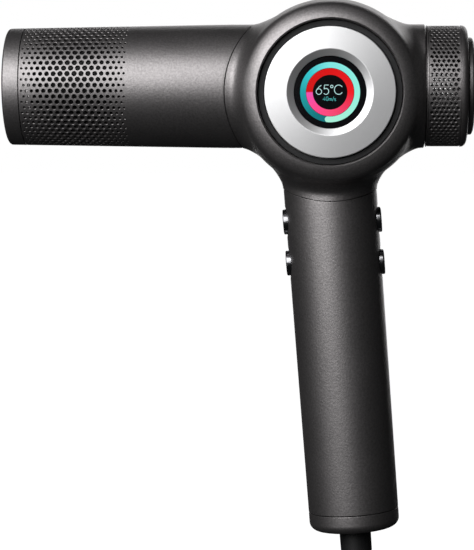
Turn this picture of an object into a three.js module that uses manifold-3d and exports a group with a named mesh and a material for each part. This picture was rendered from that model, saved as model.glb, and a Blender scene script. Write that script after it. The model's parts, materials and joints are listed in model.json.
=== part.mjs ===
// A handheld high-speed hair dryer with a round display in its hub, in millimetres, +Z up.
// Air comes in through the filter at +X and leaves through the barrel at -X. The display faces -Y.
// Everything is drawn round the hub's centre. The last lines move it so that the origin is the
// middle of the grip, on the handle's axis.
import * as THREE from "three";
import { mergeVertices } from "three/addons/utils/BufferGeometryUtils.js";
import Module from "manifold-3d";

const wasm = await Module();
wasm.setup();

// ---------------------------------------------------------------- driving dimensions

const GAP = 0.3; // between pieces that touch
const ROUND = 32; // facets round a large turned piece
const FINE = 24; // facets round an inner piece
const SMALL = 16; // facets round a button, boss or pin

const HUB = { radius: 39, frontY: -33.2, backY: 32, wall: 2.2, backWall: 2.4, backEdge: 30.5, backDepth: 10 };
const DOME = { radius: 11.8, breakRadius: 36.3, flankY: -12 }; // front of the hub: dome, then steep flank
const CAVITY = { frontY: -21, backY: 22 }; // where the hub's hollow is widest
const COVER = { radius: 28, thick: 1.3, bossRadius: 25.2, bossDepth: 1.9 };
const DISPLAY = { channelRadius: 29.4, floorY: -26.4, bezelRadius: 26.5, bezelY: -32.7 };
const LENS = { sight: 14.6, radius: 15.7, dishRadius: 17.4, dishDepth: 1.2, lip: 0.8, thick: 0.9 };

const BARREL = { z: 3.2, frontX: -134.6, frontRadius: 24.3, hubRadius: 25.7, wall: 1.6, seamRadius: 43 };
const OUTLET = { ringDepth: 6.7, mouth: 19.8, spigot: 3, grilleX: -123.4, grilleDepth: 3.4 };
const GUIDE = { inner: 20.6, outer: 21.6, frontX: -119.6, backX: -46 };
const HEATER = { sleeve: 19.3, frontX: -114, backX: -52, board: 14.5, mica: 0.8, coil: 15.6, wire: 0.5 };

const BORE = 23.7; // the hub's air bore along X
const DUCT = { inner: 19.9, outer: 21.3, flange: 23.4, frontX: -44, backX: 30, flangeDepth: 2.5 };
const MOTOR = { outer: 17, inner: 15.6, core: 11, coreInner: 9.9, frontX: -10, backX: 28, coreBackX: 14.7 };
const ROTOR = { shaft: 1.25, magnet: 4.8, bore: 1.55, bearing: 4, hub: 8.5, tip: 15.2, blades: 11 };

const NECK = { radius: 25.6, endX: 38.7 };
const FILTER = { frontX: 39.3, endX: 56.2, radius: 25.2, wall: 1.6, corner: 2.6 };
const SPIGOT = { radius: 23.2, wall: 1.3, length: 3.9 }; // the filter's, in the hub's neck
const END_CAP = { radius: 20.1, faceX: 58.9, thick: 1.8, edge: 0.6, stub: 17.6, stubWall: 1.4, length: 3.6 };

const HANDLE = { x: -3.2, tilt: THREE.MathUtils.degToRad(4.353), topRadius: 19.4, endRadius: 18.9 };
const GRIP = { seamRadius: 44.2, capSeam: 175, end: 182.8, wall: 2, neckRadius: 19.6, middle: 112 };
const BUTTON = { radius: 5.35, proud: 1.2, seat: 6.3, stem: 1.5, stemTip: 13.3, base: 16.4 };
const FRONT_BUTTONS = { upper: 52, lower: 69.3 }; // distance down the handle's axis
const REAR_BUTTONS = { upper: 53.8, lower: 71.5 };

const RELIEF = { radius: 6.6, tip: 4.7, end: 217, flange: 9 };
const CORD = { radius: 3.5, sides: 10, pitch: 7.2 };
const HANK = { x: 16, y: 7.2, z: -332.5, straight: 85, innerTurn: 21, front: 11 };
const TIE = { height: 16, thick: 1.4 };
const PLUG = { width: 36, depth: 26, body: 22, boot: 16, top: -80.5 };
const PIN = { radius: 2.4, length: 19, spacing: 19 };

// ---------------------------------------------------------------- shape helpers

// A closed manifold from a geometry's positions.
function solid(geometry) {
  const bare = geometry.clone();
  bare.deleteAttribute("normal");
  bare.deleteAttribute("uv");
  const merged = mergeVertices(bare, 1e-4);
  const vertProperties = merged.attributes.position.array;
  const triVerts = new Uint32Array(merged.index.array);
  return new wasm.Manifold(new wasm.Mesh({ numProp: 3, vertProperties, triVerts }));
}

// The geometry of a manifold.
function shapeOf(manifold) {
  const mesh = manifold.getMesh();
  const geometry = new THREE.BufferGeometry();
  geometry.setAttribute("position", new THREE.BufferAttribute(mesh.vertProperties, 3));
  geometry.setIndex(new THREE.BufferAttribute(mesh.triVerts, 1));
  geometry.computeVertexNormals();
  return geometry;
}

function joined(first, ...others) {
  return shapeOf(others.reduce((whole, other) => whole.add(solid(other)), solid(first)));
}

function cut(body, ...tools) {
  return shapeOf(tools.reduce((whole, tool) => whole.subtract(solid(tool)), solid(body)));
}

function common(a, b) {
  return shapeOf(solid(a).intersect(solid(b)));
}

// A turned piece about +Y from [radius, height] points. A profile off the axis closes on itself,
// and its direction is set so that the faces point out.
function turned(profile, facets) {
  const onAxis = profile[0][0] === 0 && profile[profile.length - 1][0] === 0;
  const ring = onAxis ? profile : [...profile, profile[0]];
  let area = 0;
  for (let i = 0; i < ring.length; i += 1) {
    const [r0, h0] = ring[i];
    const [r1, h1] = ring[(i + 1) % ring.length];
    area += r0 * h1 - r1 * h0;
  }
  const ordered = area > 0 ? ring : [...ring].reverse();
  return new THREE.LatheGeometry(ordered.map(([r, h]) => new THREE.Vector2(r, h)), facets);
}

// The same about the air axis: [radius, x] points.
function turnedX(profile, facets = ROUND) {
  return turned(profile, facets).rotateZ(-Math.PI / 2).translate(0, 0, BARREL.z);
}

// The same down the handle's axis, in the handle's frame: [radius, distance down] points.
function turnedDown(profile, facets = ROUND) {
  return turned(profile.map(([r, s]) => [r, -s]), facets).rotateX(Math.PI / 2);
}

function tubeX(inner, outer, x0, x1, facets) {
  return turnedX([[inner, x0], [outer, x0], [outer, x1], [inner, x1]], facets);
}

function rodX(radius, x0, x1, facets) {
  return turnedX([[0, x0], [radius, x0], [radius, x1], [0, x1]], facets);
}

function drumY(radius, y0, y1) {
  return turned([[0, y0], [radius, y0], [radius, y1], [0, y1]], ROUND);
}

function box(x0, x1, y0, y1, z0, z1) {
  const geometry = new THREE.BoxGeometry(x1 - x0, y1 - y0, z1 - z0);
  return geometry.translate((x0 + x1) / 2, (y0 + y1) / 2, (z0 + z1) / 2);
}

// Points on a quarter of an ellipse about [r, h], from `from` to `to` degrees.
function arc(r, h, across, along, from, to, steps) {
  return Array.from({ length: steps + 1 }, (_, i) => {
    const angle = THREE.MathUtils.degToRad(from + ((to - from) * i) / steps);
    return [r + across * Math.cos(angle), h + along * Math.sin(angle)];
  });
}

// A tube of regular section along a curve, with flat closed ends.
function tube(curve, radius, sides, steps) {
  const section = new THREE.Shape();
  for (let i = 0; i < sides; i += 1) {
    const angle = (2 * Math.PI * i) / sides;
    const point = [radius * Math.cos(angle), radius * Math.sin(angle)];
    if (i === 0) section.moveTo(...point);
    else section.lineTo(...point);
  }
  section.closePath();
  return new THREE.ExtrudeGeometry(section, { steps, extrudePath: curve, bevelEnabled: false });
}

class Helix extends THREE.Curve {
  constructor(radius, x0, x1, turns) {
    super();
    Object.assign(this, { radius, x0, x1, turns });
  }
  getPoint(t) {
    const angle = 2 * Math.PI * this.turns * t;
    const x = this.x0 + (this.x1 - this.x0) * t;
    return new THREE.Vector3(x, this.radius * Math.cos(angle), BARREL.z + this.radius * Math.sin(angle));
  }
}

// ---------------------------------------------------------------- materials

const FINISHES = {
  gunmetal: [0x5b5857, 0.42, 0.7],
  silver: [0xd6d7d9, 0.32, 0.85],
  chrome: [0xc9cbcd, 0.12, 1],
  blackGloss: [0x08090a, 0.08, 0],
  blackPlastic: [0x17181a, 0.5, 0],
  blackRubber: [0x131315, 0.75, 0],
  steelMesh: [0x8d9092, 0.35, 0.9],
  mica: [0xb9a98a, 0.6, 0],
  heaterWire: [0x6d6258, 0.4, 0.9],
  board: [0x1d5a3a, 0.5, 0],
  whitePlastic: [0xd9d7d0, 0.5, 0],
  steel: [0xa9abad, 0.3, 1],
  copper: [0xb0693c, 0.35, 1],
  magnet: [0x4a4c50, 0.4, 0.8],
  brass: [0xc09a4e, 0.3, 1],
};

function finish(name) {
  const [color, roughness, metalness] = FINISHES[name];
  return new THREE.MeshStandardMaterial({ name, color, roughness, metalness });
}

function piece(name, geometry, finishName) {
  const mesh = new THREE.Mesh(geometry, finish(finishName));
  mesh.name = name;
  return mesh;
}

// ---------------------------------------------------------------- hub

// The handle's frame: its axis runs down local -Z and leans back by the tilt.
const handleFrame = new THREE.Matrix4().makeRotationY(-HANDLE.tilt).setPosition(HANDLE.x, 0, 0);
const intoHandleFrame = handleFrame.clone().invert();

// The hub's front edge, from the display's channel out to the widest place.
function hubFront() {
  const centre = HUB.radius - DOME.radius;
  const angleAt = (radius) => THREE.MathUtils.radToDeg(Math.acos((radius - centre) / DOME.radius));
  const start = angleAt(DISPLAY.channelRadius);
  const end = angleAt(DOME.breakRadius);
  const dome = arc(centre, HUB.frontY + DOME.radius, DOME.radius, -DOME.radius, start, end, 4);
  return [...dome, [HUB.radius, DOME.flankY]];
}

// The hub's back edge, from the widest place in to the flat back.
function hubBack() {
  const { radius, backY, backEdge, backDepth } = HUB;
  return arc(backEdge, backY - backDepth, radius - backEdge, backDepth, 0, 90, 5);
}

function hubHousing() {
  const front = hubFront();
  const drum = turned([[0, front[0][1]], ...front, ...hubBack(), [0, HUB.backY]], ROUND);
  const barrelRoot = common(rodX(BARREL.hubRadius, -50, 0), drumY(BARREL.seamRadius - GAP / 2, -40, 40));
  const rearNeck = rodX(NECK.radius, 0, NECK.endX);
  const neck = turnedDown([[0, 0], [GRIP.neckRadius, 0], [GRIP.neckRadius, 60], [0, 60]]);
  neck.applyMatrix4(handleFrame);
  const handleRoot = common(neck, drumY(GRIP.seamRadius - GAP / 2, -40, 40));
  const outside = joined(drum, barrelRoot, rearNeck, handleRoot);

  const inner = HUB.radius - HUB.wall;
  const frontWallY = DISPLAY.floorY + 1.5;
  const backWallY = HUB.backY - HUB.backWall;
  const cavity = turned([
    [0, frontWallY], [inner - 2, frontWallY], [inner, CAVITY.frontY], [inner, CAVITY.backY],
    [inner - 4, backWallY], [0, backWallY],
  ], ROUND);
  const airBore = rodX(BORE, -50, 45);
  const neckInner = GRIP.neckRadius - HUB.wall;
  const neckBore = turnedDown([[0, 20], [neckInner, 20], [neckInner, 60], [0, 60]]);
  neckBore.applyMatrix4(handleFrame);
  const displayRecess = drumY(DISPLAY.channelRadius, -40, DISPLAY.floorY);
  const wireHole = drumY(8, -30, 0);
  const coverRecess = drumY(COVER.radius + GAP, HUB.backY - COVER.thick - GAP, 40);
  const coverOpening = drumY(COVER.bossRadius + GAP, 20, 40);
  return cut(outside, cavity, airBore, neckBore, displayRecess, wireHole, coverRecess, coverOpening);
}

function hubBackCover() {
  const seatY = HUB.backY - COVER.thick;
  const bossY = seatY - COVER.bossDepth;
  const rim = COVER.radius;
  const profile = [[0, bossY], [COVER.bossRadius, bossY], [COVER.bossRadius, seatY], [rim, seatY]];
  profile.push([rim, HUB.backY - 0.4], [rim - 0.4, HUB.backY], [0, HUB.backY]);
  return turned(profile, ROUND);
}

function displaySurround() {
  const floor = DISPLAY.floorY - GAP;
  const inner = DISPLAY.bezelRadius + GAP;
  const outer = DISPLAY.channelRadius - GAP;
  return turned([[inner, floor - 3.2], [outer, floor - 3.2], [outer, floor], [inner, floor]], ROUND);
}

function displayBezel() {
  const face = DISPLAY.bezelY;
  const lip = face + LENS.dishDepth;
  const floor = DISPLAY.floorY - GAP;
  const lensPocket = LENS.radius + GAP;
  return turned(
    [
      [LENS.dishRadius, face], [LENS.sight, lip], [LENS.sight, lip + LENS.lip], [lensPocket, lip + LENS.lip],
      [lensPocket, floor], [DISPLAY.bezelRadius, floor], [DISPLAY.bezelRadius, face + 0.5],
      [DISPLAY.bezelRadius - 0.5, face],
    ],
    ROUND,
  );
}

const lensFrontY = DISPLAY.bezelY + LENS.dishDepth + LENS.lip + GAP;
const moduleFrontY = lensFrontY + LENS.thick + GAP;

function displayLens() {
  return turned([[0, lensFrontY], [LENS.radius, lensFrontY], [LENS.radius, lensFrontY + LENS.thick],
    [0, lensFrontY + LENS.thick]], FINE);
}

function displayModule() {
  const backY = DISPLAY.floorY - GAP;
  return turned([[0, moduleFrontY], [15.4, moduleFrontY], [15.4, backY], [0, backY]], FINE);
}

function displayBoard() {
  const frontY = DISPLAY.floorY + 1.5 + GAP;
  const board = turned([[0, frontY], [18, frontY], [18, frontY + 1.2], [0, frontY + 1.2]], FINE);
  const driver = box(-4, 4, frontY + 1, frontY + 2, -15, -9);
  const socket = box(-12, -7, frontY + 1, frontY + 2.4, -10, -4);
  return joined(board, driver, socket);
}

// ---------------------------------------------------------------- barrel, outlet and heater

function outletRing() {
  const x = BARREL.frontX;
  const back = x + OUTLET.ringDepth;
  const rim = BARREL.frontRadius;
  const spigot = rim - BARREL.wall - GAP;
  return turnedX([
    [OUTLET.mouth, x], [rim - 0.7, x], [rim, x + 0.7], [rim, back], [spigot, back],
    [spigot, back + OUTLET.spigot], [spigot - 1.3, back + OUTLET.spigot], [OUTLET.mouth, back + 1],
  ]);
}

function outletGrille() {
  const x0 = OUTLET.grilleX;
  const x1 = x0 + OUTLET.grilleDepth;
  const rings = [[20, 22], [14.2, 15.2], [8.6, 9.6]].map(([r0, r1]) => tubeX(r0, r1, x0, x1, FINE));
  const boss = tubeX(1.4, 3.4, x0, x1, FINE);
  const spokes = Array.from({ length: 8 }, (_, i) => {
    const spoke = box(x0, x1, -0.5, 0.5, 2.4, 21);
    return spoke.rotateX((i * Math.PI) / 4).translate(0, 0, BARREL.z);
  });
  return joined(boss, ...rings, ...spokes);
}

function ionEmitter() {
  const x = OUTLET.grilleX;
  const endX = HEATER.frontX - GAP;
  return turnedX([[0, x - 0.6], [0.5, x - 0.2], [1.1, x + 0.6], [1.1, endX], [0, endX]], 12);
}

function barrelShell() {
  const x0 = BARREL.frontX + OUTLET.ringDepth + GAP;
  const { frontRadius, hubRadius, wall } = BARREL;
  const rearX = -25;
  const shell = turnedX([
    [frontRadius - wall, x0], [frontRadius, x0], [hubRadius, -43], [hubRadius, rearX],
    [hubRadius - wall, rearX], [hubRadius - wall, -43],
  ]);
  return cut(shell, drumY(BARREL.seamRadius + GAP / 2, -40, 40));
}

function micaBoard(upright) {
  const { frontX, backX, board, mica } = HEATER;
  const middleX = (frontX + backX) / 2;
  const half = mica / 2;
  const slotHalf = half + GAP;
  const plate = box(frontX, backX, -half, half, -board, board);
  const slot = upright
    ? box(frontX - 1, middleX + GAP, -1, 1, -slotHalf, slotHalf)
    : box(middleX - GAP, backX + 1, -1, 1, -slotHalf, slotHalf);
  const turn = upright ? 0 : Math.PI / 2;
  return cut(plate, slot).rotateX(turn).translate(0, 0, BARREL.z);
}

function heaterCoil(x0, x1, turns) {
  return tube(new Helix(HEATER.coil, x0, x1, turns), HEATER.wire, 6, turns * 8);
}

function thermostat() {
  const side = HEATER.mica / 2 + GAP;
  const x = HEATER.backX - 20;
  const can = box(x, x + 9, side, side + 3.6, BARREL.z + 3, BARREL.z + 10);
  const tab = box(x - 3, x + 1, side + 0.4, side + 1.2, BARREL.z + 5, BARREL.z + 8);
  return joined(can, tab);
}

function thermalFuse() {
  const x = HEATER.backX - 18;
  const offset = HEATER.mica / 2 + GAP + 1.6;
  return turnedX([[0, x], [0.5, x], [0.5, x + 4], [1.6, x + 4], [1.6, x + 14], [0, x + 14]], 10)
    .translate(0, -offset, -7);
}

// ---------------------------------------------------------------- motor in its duct

function motorDuct() {
  const { inner, outer, flange, frontX, backX, flangeDepth } = DUCT;
  return turnedX([
    [inner, frontX], [flange, frontX], [flange, frontX + flangeDepth], [outer, frontX + flangeDepth],
    [outer, backX - flangeDepth], [flange, backX - flangeDepth], [flange, backX], [inner, backX],
  ], FINE);
}

function motorMount(x) {
  const ring = tubeX(MOTOR.outer + GAP, DUCT.inner - GAP, x, x + 5, FINE);
  const notches = Array.from({ length: 4 }, (_, i) => {
    const notch = box(x - 1, x + 3, -2.5, 2.5, DUCT.inner - 1.4, DUCT.inner + 1);
    return notch.rotateX((i * Math.PI) / 2).translate(0, 0, BARREL.z);
  });
  return cut(ring, ...notches);
}

function motorHousing() {
  const { outer, inner, core, coreInner, frontX, backX, coreBackX } = MOTOR;
  const shell = tubeX(inner, outer, frontX, backX, FINE);
  const bearingHole = ROTOR.bearing + GAP;
  const hub = turnedX([
    [bearingHole, frontX], [core, frontX], [core, coreBackX], [bearingHole, coreBackX],
    [bearingHole, coreBackX - 2], [coreInner, coreBackX - 2], [coreInner, frontX + 2],
    [bearingHole, frontX + 2],
  ], FINE);
  const vanes = Array.from({ length: 7 }, (_, i) => {
    const vane = box(frontX + 4, coreBackX - 2, -0.4, 0.4, core - 0.5, inner + 0.6);
    return vane.rotateX((i * 2 * Math.PI) / 7).translate(0, 0, BARREL.z);
  });
  return joined(shell, hub, ...vanes);
}

function motorStator() {
  const x0 = MOTOR.frontX + 3.5;
  const x1 = MOTOR.coreBackX - 3.2;
  const yoke = tubeX(7.4, MOTOR.coreInner - GAP, x0, x1, FINE);
  const teeth = Array.from({ length: 3 }, (_, i) => {
    const tooth = box(x0 + 1, x1 - 1, -2.4, 2.4, ROTOR.magnet + 0.6, 8);
    return tooth.rotateX((i * 2 * Math.PI) / 3).translate(0, 0, BARREL.z);
  });
  return joined(yoke, ...teeth);
}

function bearing(x) {
  return tubeX(ROTOR.bore, ROTOR.bearing, x, x + 2.4, SMALL);
}

function impeller() {
  const x0 = MOTOR.coreBackX + 1;
  const x1 = MOTOR.backX - 2;
  const core = turnedX([
    [ROTOR.bore, x0], [ROTOR.hub + 1.5, x0], [ROTOR.hub, x0 + 3], [4, x1], [ROTOR.bore, x1],
  ], FINE);
  const blades = Array.from({ length: ROTOR.blades }, (_, i) => {
    const blade = new THREE.BoxGeometry(9, 0.8, 12);
    blade.rotateZ(THREE.MathUtils.degToRad(42));
    blade.translate((x0 + x1) / 2 - 0.6, 0, 10);
    return blade.rotateX((i * 2 * Math.PI) / ROTOR.blades).translate(0, 0, BARREL.z);
  });
  const wheel = tubeX(4.6, ROTOR.tip, x0 + 0.1, x1 - 0.1, FINE);
  return joined(core, common(joined(...blades), wheel));
}

// ---------------------------------------------------------------- rear filter

function rearSeatRing() {
  const x0 = DUCT.backX + GAP;
  const x1 = x0 + 4.6;
  const { inner, flange } = DUCT;
  return turnedX([[inner + 0.2, x0], [flange, x0], [flange, x1], [inner + 1.9, x1]], FINE);
}

function filterCage() {
  const { frontX, endX, radius, wall, corner } = FILTER;
  const inner = radius - wall;
  const bore = SPIGOT.radius - SPIGOT.wall;
  const spigotX = frontX - SPIGOT.length;
  const hole = END_CAP.stub + GAP;
  const round = arc(radius - GAP - corner, endX - corner, corner, corner, 0, 90, 4);
  return turnedX([
    [bore, spigotX], [SPIGOT.radius, spigotX], [SPIGOT.radius, frontX], [radius, frontX], ...round,
    [hole, endX], [hole, endX - wall], [inner, endX - wall], [inner, frontX + wall], [bore, frontX + wall],
  ]);
}

function filterMesh() {
  const outer = FILTER.radius - FILTER.wall - GAP;
  return tubeX(outer - 0.5, outer, FILTER.frontX + FILTER.wall + GAP, FILTER.endX - FILTER.wall - GAP, FINE);
}

function filterEndCap() {
  const { radius, faceX, stub, stubWall, length, thick, edge } = END_CAP;
  const seatX = FILTER.endX + GAP;
  const stubX = FILTER.endX - length;
  const innerX = faceX - thick;
  const bore = stub - stubWall;
  return turnedX([
    [0, innerX], [bore, innerX], [bore, stubX], [stub, stubX], [stub, seatX],
    [radius, seatX], [radius, faceX - edge], [radius - edge, faceX], [0, faceX],
  ]);
}

// ---------------------------------------------------------------- handle, in its own frame

// A turned piece along local +X (side 1) or -X (side -1), at distance `down` along the handle.
function sideways(profile, side, down, facets = SMALL) {
  const geometry = turned(profile, facets).rotateZ(-Math.PI / 2);
  if (side < 0) geometry.rotateZ(Math.PI);
  return geometry.translate(0, 0, -down);
}

function handleRadius(down) {
  return THREE.MathUtils.mapLinear(down, GRIP.seamRadius, GRIP.capSeam, HANDLE.topRadius, HANDLE.endRadius);
}

function handleShell() {
  const top = 30;
  const end = GRIP.capSeam - GAP / 2;
  const shell = turnedDown([
    [handleRadius(top) - GRIP.wall, top], [handleRadius(top), top],
    [handleRadius(end), end], [handleRadius(end) - GRIP.wall, end],
  ]);
  const seam = drumY(GRIP.seamRadius + GAP / 2, -40, 40).applyMatrix4(intoHandleFrame);
  const reach = BUTTON.seat + GAP;
  const hole = [[0, 10], [reach, 10], [reach, 30], [0, 30]];
  const holes = [
    sideways(hole, -1, FRONT_BUTTONS.upper), sideways(hole, -1, FRONT_BUTTONS.lower),
    sideways(hole, 1, REAR_BUTTONS.upper), sideways(hole, 1, REAR_BUTTONS.lower),
  ];
  return cut(shell, seam, ...holes);
}

function handleBottomCap() {
  const seam = GRIP.capSeam + GAP / 2;
  const edge = handleRadius(GRIP.capSeam);
  const round = arc(edge - 3.2, GRIP.end - 3.2, 3.2, 3.2, 0, 90, 4);
  const spigot = edge - GRIP.wall - GAP;
  const hole = RELIEF.radius + GAP;
  return turnedDown([
    [edge, seam], ...round, [hole, GRIP.end], [hole, GRIP.end - 2.5], [spigot - 1.6, GRIP.end - 2.5],
    [spigot - 1.6, seam - 5], [spigot, seam - 5], [spigot, seam],
  ]);
}

function buttonSeat(side, down) {
  const inner = BUTTON.radius + GAP;
  const ring = sideways([[inner, 14.5], [BUTTON.seat, 14.5], [BUTTON.seat, 21], [inner, 21]], side, down);
  const flush = turnedDown([[0, 0], [HANDLE.topRadius - 0.25, 0], [HANDLE.topRadius - 0.25, 120], [0, 120]]);
  return common(ring, flush);
}

function button(side, down) {
  const face = HANDLE.topRadius + BUTTON.proud;
  const { radius, stem, stemTip, base } = BUTTON;
  return sideways([
    [0, stemTip], [stem, stemTip], [stem, base], [radius, base], [radius, face - 0.5],
    [radius - 0.5, face], [0, face],
  ], side, down);
}

// A strip of circuit board with one push switch behind each button.
function buttonBoard(side, places) {
  const top = places.upper - 8;
  const end = places.lower + 8;
  const strip = box(9.4, 10.4, -5, 5, -end, -top);
  const switches = [places.upper, places.lower].flatMap((down) => [
    box(10.2, 11.6, -3, 3, -down - 3, -down + 3),
    box(11.4, 12.2, -1.2, 1.2, -down - 1.2, -down + 1.2),
  ]);
  const board = joined(strip, ...switches);
  return side < 0 ? board.rotateZ(Math.PI) : board;
}

function handleChassis() {
  const back = box(-12, 12, 8.5, 10, -168, -46);
  const rails = [-1, 1].map((side) => {
    const [x0, x1] = side < 0 ? [-12.9, -11.6] : [11.6, 12.9];
    return box(x0, x1, -8, 9.5, -168, -88);
  });
  const ribs = [100, 130, 160].map((down) => box(-12, 12, 7.2, 8.8, -down - 0.8, -down + 0.8));
  return joined(back, ...rails, ...ribs);
}

function controlBoard() {
  const board = box(-8.5, 8.5, -6, -4.8, -84, -48);
  const processor = box(-3.5, 3.5, -7.2, -5.8, -64, -57);
  const memory = box(-6, -1, -7, -5.8, -76, -71);
  const plugSocket = box(1, 7, -8.6, -5.8, -81, -76);
  return joined(board, processor, memory, plugSocket);
}

function powerBoard() {
  const board = box(-10.8, 10.8, 5, 6.2, -158, -92);
  const triac = box(-9, -4, 0.5, 5.2, -104, -96);
  const heatSink = box(-10, 10, -1.5, 0.7, -106, -95);
  const choke = box(1, 9, -3, 5.2, -120, -109);
  const supply = box(-9, -1, -1, 5.2, -122, -109);
  const capacitor = new THREE.CylinderGeometry(4, 4, 10, 12).translate(-4, 1, -129);
  const fuse = box(2, 8, 1.6, 5.2, -136, -125);
  const terminal = box(-8, 8, 0.6, 5.2, -156, -148);
  return joined(board, triac, heatSink, choke, supply, capacitor, fuse, terminal);
}

function ionModule() {
  const block = box(-7, 7, -12, -5, -160, -128);
  const lead = box(-1.5, 1.5, -10, -7, -128.5, -124);
  return joined(block, lead);
}

function cordClamp() {
  const bar = box(-11.6, 11.6, -3.2, 3.2, -170.6, -167);
  const bore = new THREE.CylinderGeometry(1.5, 1.5, 10, 12).rotateX(Math.PI / 2);
  const screwHole = (x) => bore.clone().translate(x, 0, -169);
  return cut(bar, screwHole(-8.4), screwHole(8.4));
}

function clampScrew(x) {
  const profile = [[0, 174.2], [2.4, 174.2], [2.4, 170.9], [1.2, 170.9], [1.2, 163], [0, 163]];
  const screw = turnedDown(profile, 12);
  const slot = box(-3, 3, -0.3, 0.3, -175, -173.2);
  return cut(screw, slot).translate(x, 0, 0);
}

function strainRelief() {
  const { radius, tip, end, flange } = RELIEF;
  const floor = GRIP.end - 2.5 - GAP;
  return turnedDown([
    [0, floor - 2.4], [flange, floor - 2.4], [flange, floor], [radius, floor], [radius, GRIP.end + 7],
    [tip, end], [0, end],
  ], 24);
}

// ---------------------------------------------------------------- cord, hank and plug

// A point on the handle's axis, in the hub's frame.
function down(distance) {
  return new THREE.Vector3(0, 0, -distance).applyMatrix4(handleFrame);
}

const hankHalf = HANK.straight / 2;
const hankSide = HANK.innerTurn + CORD.pitch + CORD.radius + GAP;
const hankTop = HANK.z + hankHalf + hankSide;
const tailX = HANK.x - HANK.innerTurn - CORD.pitch;
const frontLayerY = HANK.y - 2 * CORD.pitch;

function cordLead() {
  const exit = down(RELIEF.end + GAP);
  const route = [
    exit,
    down(RELIEF.end + 8),
    new THREE.Vector3(HANK.x - 0.6, -2, exit.z - 18),
    new THREE.Vector3(HANK.x - 0.1, -5, exit.z - 26),
    new THREE.Vector3(HANK.x, frontLayerY, hankTop + 7),
    new THREE.Vector3(HANK.x, frontLayerY, hankTop + GAP),
  ];
  return tube(new THREE.CatmullRomCurve3(route), CORD.radius, CORD.sides, 8);
}

function racetrack(half, side) {
  const outline = new THREE.Shape();
  outline.moveTo(side, -half);
  outline.lineTo(side, half);
  outline.absarc(0, half, side, 0, Math.PI, false);
  outline.lineTo(-side, -half);
  outline.absarc(0, -half, side, Math.PI, 2 * Math.PI, false);
  return outline;
}

function cordHank() {
  const depth = HANK.front + CORD.pitch * 2 + CORD.radius + GAP;
  const geometry = new THREE.ExtrudeGeometry(racetrack(hankHalf, hankSide), {
    depth, curveSegments: 12, bevelEnabled: false,
  });
  return geometry.rotateX(Math.PI / 2).translate(HANK.x, depth - HANK.front, HANK.z);
}

function cordTie() {
  const y0 = -HANK.front - GAP;
  const y1 = CORD.pitch * 2 + CORD.radius + 2 * GAP;
  const side = hankSide + GAP;
  const { height, thick } = TIE;
  const band = box(-side - thick, side + thick, y0 - thick, y1 + thick, -height / 2, height / 2);
  const opening = box(-side, side, y0, y1, -height, height);
  return cut(band, opening).translate(HANK.x, 0, HANK.z);
}

function cordTail() {
  const nearSide = HANK.innerTurn + CORD.pitch - CORD.radius;
  const top = HANK.z - hankHalf - Math.sqrt(hankSide ** 2 - nearSide ** 2) - GAP;
  const start = new THREE.Vector3(tailX, 0, top);
  const end = new THREE.Vector3(tailX, 0, HANK.z + PLUG.top + GAP);
  return tube(new THREE.LineCurve3(start, end), CORD.radius, CORD.sides, 3);
}

function plugBody() {
  const outline = new THREE.Shape();
  const flat = PLUG.width / 2 - 8;
  const half = PLUG.depth / 2;
  outline.moveTo(flat, -half);
  outline.bezierCurveTo(flat + 8, -half, flat + 8, half, flat, half);
  outline.lineTo(-flat, half);
  outline.bezierCurveTo(-flat - 8, half, -flat - 8, -half, -flat, -half);
  const body = new THREE.ExtrudeGeometry(outline, {
    depth: PLUG.body, curveSegments: 8, bevelThickness: 2, bevelSize: 1.5, bevelSegments: 2,
  });
  body.translate(0, 0, -PLUG.boot - PLUG.body);
  const boot = new THREE.CylinderGeometry(5, 11, PLUG.boot + 1, 20).rotateX(Math.PI / 2);
  boot.translate(0, 0, -(PLUG.boot + 1) / 2);
  return joined(body, boot).translate(tailX, 0, HANK.z + PLUG.top);
}

function plugPin(side) {
  const top = HANK.z + PLUG.top - PLUG.boot - PLUG.body - 2 - GAP;
  const end = top - PIN.length;
  const pin = turned([
    [0, end], [PIN.radius * 0.6, end + 0.6], [PIN.radius, end + 2.2], [PIN.radius, top], [0, top],
  ], 14).rotateX(Math.PI / 2);
  return pin.translate(tailX + (side * PIN.spacing) / 2, 0, 0);
}

// ---------------------------------------------------------------- the assembly

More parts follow.
